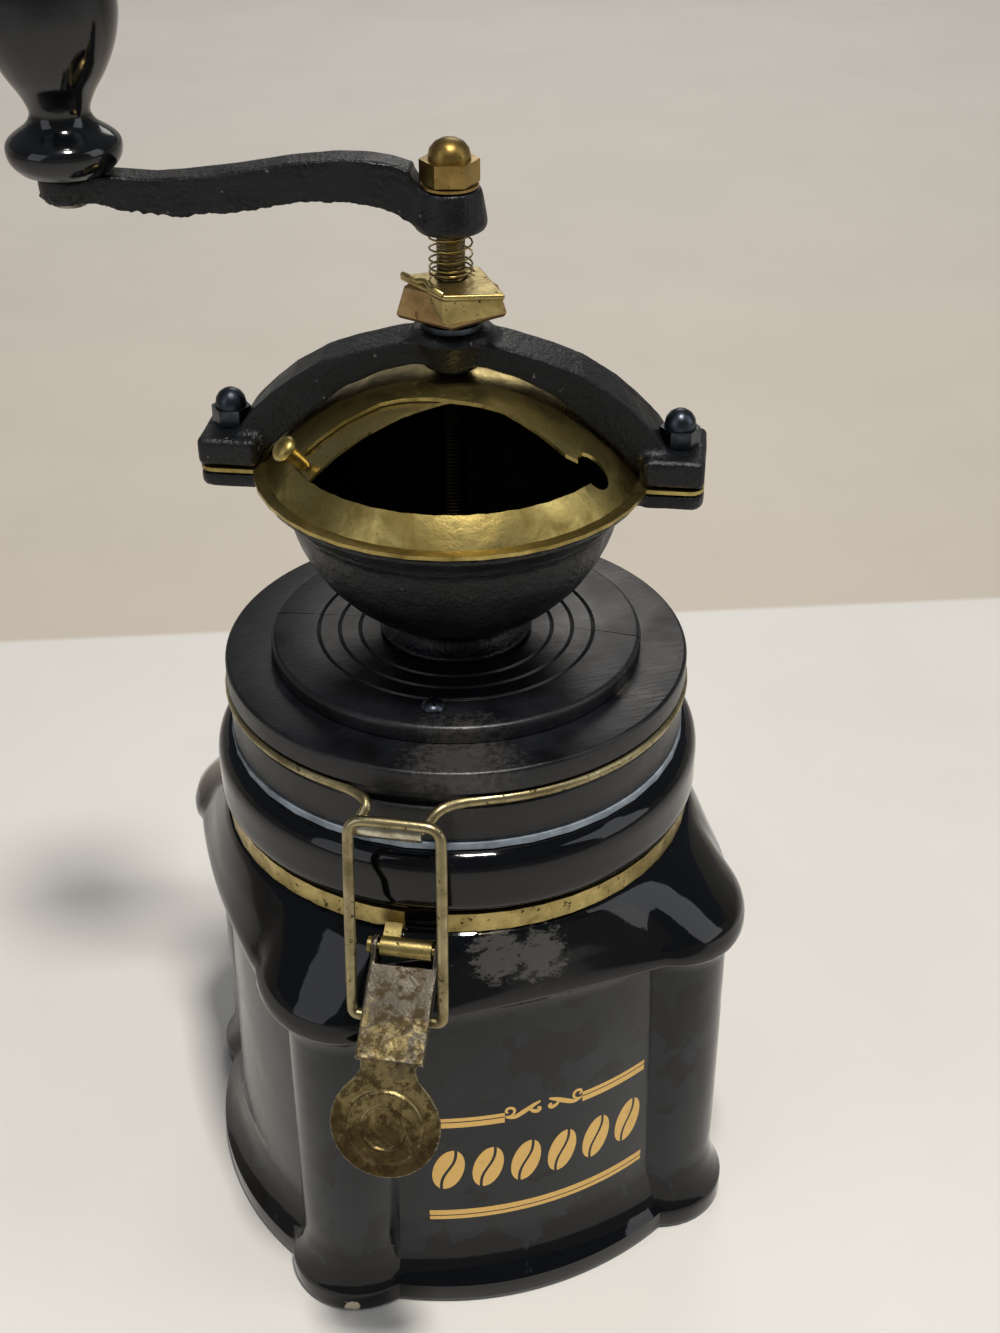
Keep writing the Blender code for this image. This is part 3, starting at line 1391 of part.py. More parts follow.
def make_burr_ring():
    top = raised_bottom - fit_gap * 2
    profile = (
        (burr_top_bore, top), (burr_ring_radius, top), (burr_ring_radius, burr_flange_top),
        (burr_flange_radius, burr_flange_top), (burr_flange_radius, burr_flange_bottom),
        (burr_ring_radius, burr_flange_bottom), (burr_ring_radius, burr_bottom), (burr_low_bore,
                                                                                  burr_bottom),
        (burr_top_bore, burr_bottom + cone_height))
    ring = turned("burr_ring", profile, "cast iron", steps=middle_steps, closed=True)
    for azimuth in burr_screw_azimuths:
        x, y = polar(burr_screw_reach, azimuth)
        bore(ring, burr_screw_shank + fit_gap, burr_flange_bottom - cut_over / 2,
             burr_flange_top + fit_gap / 2,
             x, y, steps=tiny_steps)
    return ring


burr_ring = make_burr_ring()


def make_burr_screw(name, azimuth):
    x, y = polar(burr_screw_reach, azimuth)
    seat = burr_flange_bottom - fit_gap
    end = seat + burr_screw_length
    profile = (
        (0.0, end), (burr_screw_shank, end - burr_screw_shank), (burr_screw_shank, seat), (burr_screw_head,
                                                                                           seat),
        (burr_screw_head * 0.8, seat - burr_screw_head_height * 0.8), (0.0, seat - burr_screw_head_height))
    screw = turned(name, profile, "steel", steps=tiny_steps)
    screw.location = (x, y, 0.0)
    bore(lid_disc, burr_screw_shank + fit_gap, plug_bottom - fit_gap / 2, end + fit_gap, x, y,
         steps=tiny_steps)
    return screw


burr_screws = [
    make_burr_screw("burr_screw_" + str(index + 1),
                    azimuth) for index, azimuth in enumerate(burr_screw_azimuths)]


def make_burr_cone():
    bottom = burr_bottom
    top = bottom + cone_height
    low_radius = burr_low_bore - burr_running_gap
    hole = shaft_radius + fit_gap
    profile = (
        (hole, top), (cone_top_radius, top), (cone_top_radius * 1.2, top - cone_height * 0.3),
        (cone_low_radius * 0.78, bottom + cone_height * 0.3), (low_radius, bottom + fit_gap),
        (low_radius, cone_bottom), (hole, cone_bottom))
    return turned("burr_cone", profile, "steel", steps=middle_steps, closed=True)


burr_cone = make_burr_cone()
burr_nut = cut(
    cylinder("burr_nut", burr_nut_radius, burr_nut_bottom, burr_nut_top, "steel", steps=6),
    cylinder("burr_nut_bore", shaft_radius + fit_gap, burr_nut_bottom - cut_over, burr_nut_top + cut_over,
             steps=small_steps))


def make_bridge():
    # A bar below the cone, with a bearing in its middle and a leg up to the burr flange at each end
    bar_bottom = bridge_top - bridge_thickness
    leg_top = burr_flange_bottom - fit_gap
    length = (bridge_leg_reach + bridge_leg_radius) * 2
    bridge = block("lower_bridge", (length, bridge_width, bridge_thickness),
                   (0.0, 0.0, (bridge_top + bar_bottom) / 2), "cast iron")
    bridge.matrix_world = spin(bridge_azimuth)
    join(bridge,
         cylinder("bridge_hub", bridge_hub_radius, bridge_top - bridge_hub_height,
                  bridge_top - weld_depth / 2,
                          steps=middle_steps))
    for index, turn in enumerate((0.0, 180.0)):
        x, y = polar(bridge_leg_reach, bridge_azimuth + turn)
        leg = cylinder("bridge_leg_" + str(index + 1), bridge_leg_radius, bridge_top - weld_depth, leg_top,
                       steps=tiny_steps)
        leg.location = (x, y, 0.0)
        join(bridge, leg)
    return bore(bridge, shaft_radius + fit_gap, bridge_top - bridge_hub_height - cut_over,
                bridge_top + cut_over)


lower_bridge = make_bridge()


# Joint axes, and what each one carries

def clip_place(reach, height):
    x, y = polar(reach, clip_azimuth)
    return x, y, height


lever_axis = axis_empty("lever_axis", clip_place(clip_hinge_reach, clip_hinge_height), clip_azimuth)
bail_axis = axis_empty("bail_axis", clip_place(bail_pivot_reach, bail_pivot_height), clip_azimuth)
lid_axis = axis_empty("lid_axis", (*polar(rear_hinge_reach, rear_azimuth), rear_hinge_height), rear_azimuth)
crank_axis = axis_empty("crank_axis", (0.0, 0.0, hub_bottom))
slider_axis = axis_empty("slider_axis", (0.0, 0.0, cover_top))
lift_axis = axis_empty("lift_axis", (0.0, 0.0, clip_bottom))
knob_axis = axis_empty("knob_axis", (*polar(crank_reach, crank_azimuth), knob_bottom))
carry(lever_axis, [lever, bail_axis])
carry(bail_axis, [bail_wire])
carry(lid_axis, [
    lid_wire, gasket, lid_disc, raised_disc, *lid_screws, hopper_bowl, cover_fixed, yoke, *bolts, *acorns,
    burr_ring, *burr_screws, lower_bridge, crank_axis, slider_axis])
carry(slider_axis, [cover_slider, cover_knob])
carry(crank_axis, [
    shaft, bush, adjusting_nut, burr_cone, burr_nut, crank_arm, crank_washer, crank_nut,
    knob_pin, lift_axis, knob_axis])
carry(lift_axis, [lock_clip, spring])
carry(knob_axis, [handle_knob])
bpy.context.view_layer.update()
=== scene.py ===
import json
import math
import bpy
import bmesh
from mathutils import Matrix, Vector, noise
from mathutils.bvhtree import BVHTree


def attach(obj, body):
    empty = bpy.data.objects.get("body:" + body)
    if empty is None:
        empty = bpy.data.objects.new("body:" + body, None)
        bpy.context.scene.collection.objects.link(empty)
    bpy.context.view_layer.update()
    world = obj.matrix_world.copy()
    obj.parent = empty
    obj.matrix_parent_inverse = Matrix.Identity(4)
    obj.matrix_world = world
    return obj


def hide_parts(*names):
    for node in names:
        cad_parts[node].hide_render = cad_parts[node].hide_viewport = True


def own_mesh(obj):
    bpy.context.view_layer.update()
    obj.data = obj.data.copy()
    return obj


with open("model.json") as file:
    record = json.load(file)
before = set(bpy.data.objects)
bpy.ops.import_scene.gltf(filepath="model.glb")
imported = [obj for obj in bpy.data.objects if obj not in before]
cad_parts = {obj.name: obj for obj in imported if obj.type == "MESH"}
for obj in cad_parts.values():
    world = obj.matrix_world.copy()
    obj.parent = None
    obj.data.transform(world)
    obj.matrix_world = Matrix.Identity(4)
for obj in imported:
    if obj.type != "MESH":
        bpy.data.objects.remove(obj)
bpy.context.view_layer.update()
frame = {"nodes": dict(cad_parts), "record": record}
nodes = frame["nodes"]
record = frame["record"]
bodyOf = {node: body for body, names in record["behaviour"]["bodies"].items() for node in names}
mm = 0.001
print("frame loaded:", len(nodes), "nodes")


def openAll():
    bpy.ops.object.mode_set(mode="EDIT")
    bpy.ops.mesh.select_all(action="SELECT")


def closeEdit():
    bpy.ops.object.mode_set(mode="OBJECT")


def clearPick():
    if bpy.context.object and bpy.context.object.mode != "OBJECT":
        closeEdit()
    bpy.ops.object.select_all(action="DESELECT")


def pickOnly(piece):
    clearPick()
    piece.select_set(True)
    bpy.context.view_layer.objects.active = piece


def newObject(name, data):
    piece = bpy.data.objects.new(name, data)
    bpy.context.scene.collection.objects.link(piece)
    return piece


def objectFrom(shape, name):
    # a mesh object from points and faces laid in code
    mesh = bpy.data.meshes.new(name)
    shape.to_mesh(mesh)
    shape.free()
    return newObject(name, mesh)


def settle(piece):
    # place, turn and size go into the mesh, so the object itself sits at the origin
    pickOnly(piece)
    bpy.ops.object.transform_apply(location=True, rotation=True, scale=True)


def applyAll(piece):
    pickOnly(piece)
    for modifier in list(piece.modifiers):
        bpy.ops.object.modifier_apply(modifier=modifier.name)


def smooth(piece, angle=35):
    pickOnly(piece)
    bpy.ops.object.shade_smooth_by_angle(angle=math.radians(angle))


def dress(piece, material, node=None, body=None):
    piece.data.materials.clear()
    piece.data.materials.append(material)
    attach(piece, body or bodyOf[node])
    if node:
        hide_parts(node)
    return piece


def copyOf(node, name, angle=35, quads=True, rounds=0):
    # the CAD node's triangles, merged into one skin that can be smoothed and softened
    mesh = nodes[node].data.copy()
    piece = newObject(name, mesh)
    pickOnly(piece)
    openAll()
    bpy.ops.mesh.remove_doubles(threshold=0.000004)
    if quads:
        bpy.ops.mesh.tris_convert_to_quads(face_threshold=math.radians(25), shape_threshold=math.radians(60))
    closeEdit()
    if mesh.has_custom_normals:
        bpy.ops.mesh.customdata_custom_splitnormals_clear()
    if rounds:
        finer = piece.modifiers.new("rounds", "SUBSURF")
        finer.levels = finer.render_levels = rounds
        applyAll(piece)
    smooth(piece, angle)
    return piece


def castCopy(node, name, grain, softening, unevenness=0.0, fillet=0.0, wavelength=6 * mm):
    # a remeshed copy: every edge comes out a little round, as from a sand mould or a press
    piece = copyOf(node, name, quads=False)
    # swelling, remeshing and shrinking by the same amount fills the inner corners with a fillet
    for swell in ((0.0, fillet, -fillet) if fillet else (0.0,)):
        if swell:
            push = piece.modifiers.new("push", "DISPLACE")
            push.strength = swell
            push.mid_level = 0.0
        if swell >= 0.0:
            skin = piece.modifiers.new("skin", "REMESH")
            skin.mode = "VOXEL"
            skin.voxel_size = grain
    ease = piece.modifiers.new("ease", "SMOOTH")
    ease.factor = 0.5
    ease.iterations = softening
    applyAll(piece)
    mesh = piece.data
    if unevenness:
        normals = [vertex.normal.copy() for vertex in mesh.vertices]
        for vertex, normal in zip(mesh.vertices, normals):
            vertex.co += normal * unevenness * noise.noise(vertex.co / wavelength)
    markWear(piece, grain)
    for face in mesh.polygons:
        face.use_smooth = True
    return piece


def markWear(piece, grain):
    # how sharply the skin turns at each point, kept as an attribute for the worn edges
    mesh = piece.data
    total = [Vector() for vertex in mesh.vertices]
    number = [0] * len(mesh.vertices)
    for edge in mesh.edges:
        first, second = edge.vertices
        total[first] += mesh.vertices[second].co
        total[second] += mesh.vertices[first].co
        number[first] += 1
        number[second] += 1
    wear = mesh.attributes.new("edgeWear", "FLOAT", "POINT")
    for vertex in mesh.vertices:
        index = vertex.index
        middle = total[index] / max(number[index], 1)
        wear.data[index].value = max(0.0, (vertex.co - middle).dot(vertex.normal) / grain * 4)


def polar(reach, azimuth):
    return Vector((reach * math.cos(math.radians(azimuth)), reach * math.sin(math.radians(azimuth)), 0.0))


def easeCurve(points, between=4):
    # a soft curve through the points that stay the same, with more points between them
    ends = [points[0]] + list(points) + [points[-1]]
    curve = []
    for a, b, c, d in zip(ends, ends[1:], ends[2:], ends[3:]):
        for step in range(between):
            t = step / between
            curve.append(tuple(
                0.5 * (2 * q + (r - p) * t + (2 * p - 5 * q + 4 * r - s) * t * t
                       + (3 * q - p - 3 * r + s) * t ** 3) for p, q, r, s in zip(a, b, c, d)))
    return curve + [tuple(points[-1])]


def turnedPiece(name, outline, centre=(0.0, 0.0), steps=96, closed=False):
    # the outline, points of (radius, height) in metres, is drawn and spun round the upright axis
    clearPick()
    bpy.ops.mesh.primitive_plane_add(size=mm, location=(0, 0, 0))
    piece = bpy.context.object
    piece.name = name
    bpy.ops.object.mode_set(mode="EDIT")
    bpy.ops.mesh.merge(type="CENTER")
    first = outline[0]
    bpy.ops.transform.translate(value=(centre[0] + first[0], centre[1], first[1]))
    route = list(outline) + ([first] if closed else [])
    for before, after in zip(route, route[1:]):
        step = (after[0] - before[0], 0, after[1] - before[1])
        bpy.ops.mesh.extrude_region_move(TRANSFORM_OT_translate={"value": step})
    bpy.ops.mesh.select_all(action="SELECT")
    bpy.ops.mesh.spin(steps=steps, angle=2 * math.pi, center=(*centre, 0), axis=(0, 0, 1))
    bpy.ops.mesh.select_all(action="SELECT")
    bpy.ops.mesh.remove_doubles(threshold=0.00001)
    bpy.ops.mesh.normals_make_consistent(inside=False)
    closeEdit()
    settle(piece)
    smooth(piece, 40)
    return piece


def cutAway(piece, cutter):
    difference = piece.modifiers.new("cut", "BOOLEAN")
    difference.operation = "DIFFERENCE"
    difference.solver = "EXACT"
    difference.object = cutter
    applyAll(piece)
    bpy.data.objects.remove(cutter)


def toLinear(hexText):
    values = [int(hexText[i:i + 2], 16) / 255 for i in (1, 3, 5)]
    return [v / 12.92 if v <= 0.04045 else ((v + 0.055) / 1.055) ** 2.4 for v in values] + [1.0]


def tint(value):
    # a hex colour, a grey level or ready values, for a colour socket
    if isinstance(value, str):
        return toLinear(value)
    return value if isinstance(value, list) else (value, value, value, 1.0)


def addNode(material, kind, settings=None, links=None):
    # settings go on the node or, if it has no such field, on its socket; links maps sockets to outputs
    tree = material.node_tree
    node = tree.nodes.new(kind)
    for key, value in (settings or {}).items():
        if isinstance(key, str) and hasattr(node, key):
            setattr(node, key, value)
        else:
            node.inputs[key].default_value = value
    for socket, source in (links or {}).items():
        tree.links.new(source, node.inputs[socket])
    return node


def newMaterial(name, settings):
    material = bpy.data.materials.new(name)
    material.use_nodes = True
    shader = material.node_tree.nodes["Principled BSDF"]
    for key, value in settings.items():
        shader.inputs[key].default_value = value
    return material, shader


def pattern(material, size, detail=4.0, rough=0.55, stretch=(1, 1, 1), turn=(0, 0, 0), distortion=0.0):
    # cloudy pattern whose features are about this size
    place = addNode(material, "ShaderNodeTexCoord")
    mapping = addNode(material, "ShaderNodeMapping", {"Scale": stretch, "Rotation": turn},
                      {"Vector": place.outputs["Object"]})
    return addNode(material, "ShaderNodeTexNoise",
                   {"Scale": 1 / size, "Detail": detail, "Roughness": rough, "Distortion": distortion},
                   {"Vector": mapping.outputs["Vector"]}).outputs["Fac"]


def ramp(material, source, low, high, first, second):
    # first up to the low share of the source, second from the high share on
    node = addNode(material, "ShaderNodeValToRGB", {}, {"Fac": source})
    for element, place, value in zip(node.color_ramp.elements, (low, high), (first, second)):
        element.position = place
        element.color = tint(value)
    return node.outputs["Color"]


def mixColor(material, share, first, second):
    node = addNode(material, "ShaderNodeMix", {"data_type": "RGBA"}, {0: share})
    for socket, value in ((6, first), (7, second)):
        if isinstance(value, bpy.types.NodeSocket):
            material.node_tree.links.new(value, node.inputs[socket])
        else:
            node.inputs[socket].default_value = tint(value)
    return node.outputs[2]


def combine(material, operation, first, second):
    node = addNode(material, "ShaderNodeMath", {"operation": operation})
    for socket, value in ((0, first), (1, second)):
        if isinstance(value, (int, float)):
            node.inputs[socket].default_value = value
        else:
            material.node_tree.links.new(value, node.inputs[socket])
    return node.outputs[0]


def feed(material, shader, **sources):
    for socket, source in sources.items():
        material.node_tree.links.new(source, shader.inputs[socket.replace("_", " ")])


def bumps(material, shader, source, distance, under=None):
    links = {"Height": source}
    if under:
        links["Normal"] = under
    node = addNode(material, "ShaderNodeBump", {"Strength": 1.0, "Distance": distance}, links)
    material.node_tree.links.new(node.outputs["Normal"], shader.inputs["Normal"])
    return node.outputs["Normal"]


def nearSpot(material, spot):
    # 1 at the spot's centre, in metres, and 0 from its radius, in mm, outwards
    centre, radius = spot
    place = addNode(material, "ShaderNodeTexCoord")
    away = addNode(material, "ShaderNodeVectorMath", {"operation": "DISTANCE", 1: centre},
                   {0: place.outputs["Object"]})
    return addNode(material, "ShaderNodeMapRange", {"From Min": radius * mm, "From Max": 0.0},
                   {"Value": away.outputs["Value"]}).outputs["Result"]


def nearEither(material, spots):
    return combine(material, "MAXIMUM", nearSpot(material, spots[0]), nearSpot(material, spots[1]))


def heightShare(material, low, high):
    # 0 below the low height, 1 above the high one, or the other way round
    place = addNode(material, "ShaderNodeTexCoord")
    axes = addNode(material, "ShaderNodeSeparateXYZ", {}, {"Vector": place.outputs["Object"]})
    return addNode(material, "ShaderNodeMapRange", {"From Min": low, "From Max": high},
                   {"Value": axes.outputs["Z"]}).outputs["Result"]


def enamelOnIron(name, dark, light, roughLow, roughHigh, grit):
    # thin black enamel over a sand casting: fine grit, dull sheen, edges rubbed down to grey iron
    material, shader = newMaterial(name, {"Specular IOR Level": 0.31})
    cloud = pattern(material, 9 * mm, 5)
    fine = pattern(material, grit, 3, 0.6)
    coat = ramp(material, cloud, 0.35, 0.68, dark, light)
    edge = addNode(material, "ShaderNodeAttribute", {"attribute_name": "edgeWear"}).outputs["Fac"]
    rubbed = combine(material, "MULTIPLY", edge, pattern(material, 2.6 * mm, 5, 0.7))
    share = ramp(material, rubbed, 0.22, 0.50, 0, 0.75)
    chips = ramp(material, pattern(material, 1.9 * mm, 2, 0.5), 0.735, 0.76, 0, 1)
    share = combine(material, "MAXIMUM", share, chips)
    feed(material, shader, Base_Color=mixColor(material, share, coat, "#55544f"),
         Roughness=ramp(material, cloud, 0.3, 0.7, roughLow, roughHigh))
    first = bumps(material, shader, fine, 0.30 * mm)
    bumps(material, shader, pattern(material, 3.6 * mm, 4), 0.40 * mm, first)
    return material


def agedBrass(name, bright, dull, spots, roughLow, roughHigh, spotShare):
    # brass plate that has gone brown: soft cloudy tarnish, darker freckles, small scratches
    material, shader = newMaterial(name, {"Metallic": 1.0, "Roughness": 0.35})
    cloud = pattern(material, 7 * mm, 6, 0.62, distortion=0.6)
    freckle = pattern(material, 1.3 * mm, 4, 0.6)
    coat = ramp(material, cloud, 0.36, 0.66, bright, dull)
    dots = ramp(material, freckle, spotShare, spotShare + 0.06, 0, 0.85)
    feed(material, shader, Base_Color=mixColor(material, dots, coat, spots))
    base = ramp(material, cloud, 0.3, 0.7, roughLow, roughHigh)
    feed(material, shader, Roughness=mixColor(material, dots, base, 0.7))
    first = bumps(material, shader, pattern(material, 0.5 * mm, 3, 0.6), 0.012 * mm)
    bumps(material, shader, pattern(material, 4 * mm, 3), 0.10 * mm, first)
    return material


castIron = enamelOnIron("blackEnamelOnCastIron", "#06080a", "#0e1115", 0.30, 0.50, 1.0 * mm)
brassPlate = agedBrass("agedBrassPlate", "#b8a66e", "#877747", "#3f3423", 0.28, 0.48, 0.60)
brassRim = agedBrass("handledBrassSheet", "#b8a566", "#7b6b3a", "#57462a", 0.24, 0.44, 0.66)
brassNut = agedBrass("solidBrassNut", "#a58b52", "#7f6838", "#43361f", 0.28, 0.44, 0.64)
brassBlock = agedBrass("sawnBrassBlock", "#b99c70", "#977a50", "#5b4630", 0.46, 0.62, 0.62)
brassWire = agedBrass("brassPlatedWire", "#aca07b", "#776c4c", "#332c20", 0.26, 0.46, 0.60)


glazeLook = {
    "film": ("#12171d", "#1c2228"), "bare": "#050609", "scuff": "#5a5854", "body": "#c9bba4", "ior": 1.42,
    "filmGloss": (0.14, 0.26), "bareGloss": 0.05, "scuffGloss": 0.55, "flakes": 10.0, "smears": 24.0,
    "handled": (((0.034, -0.056, 0.060), 30.0), ((0.004, -0.058, 0.070), 17.0)), "low": (0.024, 0.008),
    "shoulder": (0.0815, 0.0845), "chip": ((-0.0432, -0.0514, 0.0020), 4.0),
    "scuffs": (((-0.0085, -0.0512, 0.0972), 15.0), ((0.0005, -0.0530, 0.0966), 15.0)),
}


def glazeMaterial():
    # black gloss glaze on stoneware: mirror-like where wiped, under a thin dry film with flaked edges
    look = glazeLook
    material, shader = newMaterial("blackGlazeOnStoneware", {"IOR": look["ior"]})
    flakes = pattern(material, look["flakes"] * mm, 8, 0.62, distortion=0.5)
    handled = combine(material, "MULTIPLY", nearEither(material, look["handled"]), 0.20)
    low = combine(material, "MULTIPLY", heightShare(material, *look["low"]), 0.26)
    wiped = combine(material, "ADD", combine(material, "MAXIMUM", handled, low), flakes)
    wiped = combine(material, "ADD", wiped, heightShare(material, *look["shoulder"]))
    clean = ramp(material, wiped, 0.605, 0.615, 0, 1)
    smear = pattern(material, look["smears"] * mm, 5, 0.6, distortion=0.8)
    scuff = combine(material, "MULTIPLY", nearEither(material, look["scuffs"]),
                  pattern(material, 3.4 * mm, 7, 0.75, (1, 2, 2)))
    dust = ramp(material, pattern(material, 1.1 * mm, 3, 0.6), 0.71, 0.76, 0, 0.30)
    share = combine(material, "MAXIMUM", ramp(material, scuff, 0.29, 0.34, 0, 0.55), dust)
    chip = combine(material, "MULTIPLY", nearSpot(material, look["chip"]),
                 combine(material, "ADD", pattern(material, 1.5 * mm, 3), 0.25))
    chipped = ramp(material, chip, 0.38, 0.44, 0, 1)
    tone = mixColor(material, clean, ramp(material, smear, 0.40, 0.70, *look["film"]), look["bare"])
    tone = mixColor(material, share, tone, look["scuff"])
    feed(material, shader, Base_Color=mixColor(material, chipped, tone, look["body"]))
    gloss = ramp(material, smear, 0.38, 0.72, *look["filmGloss"])
    gloss = mixColor(material, clean, gloss, look["bareGloss"])
    share = combine(material, "MAXIMUM", share, chipped)
    feed(material, shader, Roughness=mixColor(material, share, gloss, look["scuffGloss"]))
    first = bumps(material, shader, pattern(material, 14 * mm, 2, 0.4), 0.22 * mm)
    bumps(material, shader, pattern(material, 0.9 * mm, 2), 0.005 * mm, first)
    return material


woodLook = {
    "stain": ("#08090b", "#121419"), "rubbed": "#4a4844", "gloss": (0.26, 0.46), "specular": 0.4,
    "grain": 9.0, "grainPull": (1.0, 9.0, 9.0), "grainTurn": 18.9, "clouds": 12.0,
    "rubs": (((0.0265, -0.0285, 0.142), 9.0), ((-0.013, -0.0440, 0.142), 26.0)),
}


def woodMaterial():
    # beech stained black and waxed: fine grain along one way, open checks, rubbed grey scuffs
    look = woodLook
    material, shader = newMaterial("ebonisedBeech", {"Specular IOR Level": look["specular"]})
    turn = (0, 0, math.radians(look["grainTurn"]))
    grain = pattern(material, look["grain"] * mm, 5, 0.6, look["grainPull"], turn, 0.3)
    cloud = pattern(material, look["clouds"] * mm, 5, 0.6)
    scuff = ramp(material, pattern(material, 2.4 * mm, 6, 0.75, (1, 2.5, 1), turn), 0.63, 0.72, 0, 0.4)
    specks = pattern(material, 1.5 * mm, 6, 0.8)
    specks = combine(material, "MULTIPLY", nearEither(material, look["rubs"]), specks)
    scuff = combine(material, "MAXIMUM", scuff, ramp(material, specks, 0.26, 0.42, 0, 0.55))
    tone = ramp(material, cloud, 0.35, 0.7, *look["stain"])
    feed(material, shader, Base_Color=mixColor(material, scuff, tone, look["rubbed"]),
         Roughness=ramp(material, cloud, 0.3, 0.72, *look["gloss"]))
    first = bumps(material, shader, grain, 0.09 * mm)
    bumps(material, shader, pattern(material, 1.2 * mm, 4, 0.7), 0.03 * mm, first)
    return material


def lacquerMaterial():
    # gloss black lacquer on a turned knob, a little bruised
    material, shader = newMaterial("glossLacquerOnWood", {"IOR": 1.5})
    cloud = pattern(material, 8 * mm, 5, 0.6)
    dents = pattern(material, 3.0 * mm, 3, 0.5)
    feed(material, shader, Base_Color=ramp(material, cloud, 0.4, 0.7, "#07080a", "#101216"),
         Roughness=ramp(material, cloud, 0.35, 0.7, 0.07, 0.17))
    bumps(material, shader, dents, 0.05 * mm)
    return material


leverLook = {
    "thumb": "#57492f", "middle": "#8f8058", "bare": "#565148", "dirt": "#40341f", "edge": "#b5b0a2",
    "gloss": (0.26, 0.45), "dirtGloss": 0.65, "rise": (0.062, 0.104),
}


def leverMaterial():
    # pressed steel, its brass plate worn off: grey above, brassy in the middle, brown on the thumb plate
    look = leverLook
    material, shader = newMaterial("wornBrassOnSteel", {"Metallic": 1.0})
    cloud = pattern(material, 5 * mm, 6, 0.7, distortion=1.0)
    sway = combine(material, "MULTIPLY", combine(material, "SUBTRACT", cloud, 0.5), 1.2)
    worn = combine(material, "ADD", heightShare(material, *look["rise"]), sway)
    tone = ramp(material, worn, 0.30, 0.52, look["thumb"], look["middle"])
    tone = mixColor(material, ramp(material, worn, 0.62, 0.80, 0, 1), tone, look["bare"])
    dark = ramp(material, pattern(material, 3.2 * mm, 7, 0.75), 0.49, 0.57, 0, 0.8)
    tone = mixColor(material, dark, tone, look["dirt"])
    edge = addNode(material, "ShaderNodeAttribute", {"attribute_name": "edgeWear"}).outputs["Fac"]
    rubbed = ramp(material, edge, 0.34, 0.70, 0, 0.7)
    gloss = ramp(material, cloud, 0.3, 0.7, *look["gloss"])
    feed(material, shader, Base_Color=mixColor(material, rubbed, tone, look["edge"]),
         Roughness=mixColor(material, dark, gloss, look["dirtGloss"]))
    first = bumps(material, shader, pattern(material, 1.2 * mm, 5, 0.7), 0.03 * mm)
    bumps(material, shader, cloud, 0.16 * mm, first)
    return material


def steelMaterial(name, tones, roughLow, roughHigh, thread=0.0):
    # plain drawn steel: faint mottling, small scratches, and a cut thread where asked; with a thread, the
    # rod below the yoke also gets painted shade
    material, shader = newMaterial(name, {"Metallic": 1.0})
    cloud = pattern(material, 4 * mm, 5, 0.65)
    metal = ramp(material, cloud, 0.36, 0.68, *tones)
    if thread:
        # painted shade: below the yoke the rod is coloured dark brown for the shadow inside the hopper
        metal = mixColor(material, heightShare(material, 0.2135, 0.2155), "#2c261b", metal)
    feed(material, shader, Base_Color=metal,
         Roughness=ramp(material, cloud, 0.3, 0.7, roughLow, roughHigh))
    first = bumps(material, shader, pattern(material, 0.6 * mm, 3, 0.6), 0.01 * mm)
    if thread:
        place = addNode(material, "ShaderNodeTexCoord")
        oneBand = 2.0 / 6.283  # a wave texture at this scale has one band in each unit
        ridges = addNode(material, "ShaderNodeTexWave",
                         {"wave_type": "BANDS", "bands_direction": "Z", "Scale": oneBand / thread},
                         {"Vector": place.outputs["Object"]})
        bumps(material, shader, ridges.outputs["Fac"], 0.25 * mm, first)
    return material


def rubberMaterial():
    # old rubber ring: matt, pale blue grey, with darker grime
    material, shader = newMaterial("agedRubberRing", {"Roughness": 0.62})
    cloud = pattern(material, 6 * mm, 5, 0.6)
    feed(material, shader, Base_Color=ramp(material, cloud, 0.38, 0.66, "#9aa6b0", "#6b747c"))
    bumps(material, shader, pattern(material, 0.8 * mm, 3), 0.02 * mm)
    return material


def goldPrintMaterial():
    # fired gold print: satin, warm, rubbed thin in places
    material, shader = newMaterial("firedGoldPrint", {"Metallic": 0.25, "Roughness": 0.38})
    rub = pattern(material, 3.2 * mm, 5, 0.7)
    feed(material, shader, Base_Color=ramp(material, rub, 0.60, 0.78, "#e3b969", "#b88d45"))
    return material


glaze = glazeMaterial()
wood = woodMaterial()
lacquer = lacquerMaterial()
wornPlate = leverMaterial()
darkSteel = steelMaterial("bluedSteel", ("#4a5058", "#2a2d32"), 0.26, 0.44)
plainSteel = steelMaterial("drawnSteel", ("#9a958a", "#6c675d"), 0.28, 0.46)
threadedSteel = steelMaterial("threadedSteelRod", ("#92825c", "#5e5138"), 0.28, 0.46, thread=0.8 * mm)
rubbedSteel = steelMaterial("rubbedPlatedSteel", ("#cfc9b6", "#8d8468"), 0.18, 0.32)
springSteel = steelMaterial("brassySpringWire", ("#a8935c", "#6f5f3c"), 0.24, 0.40)
rubber = rubberMaterial()
goldPrint = goldPrintMaterial()
print("materials ready")


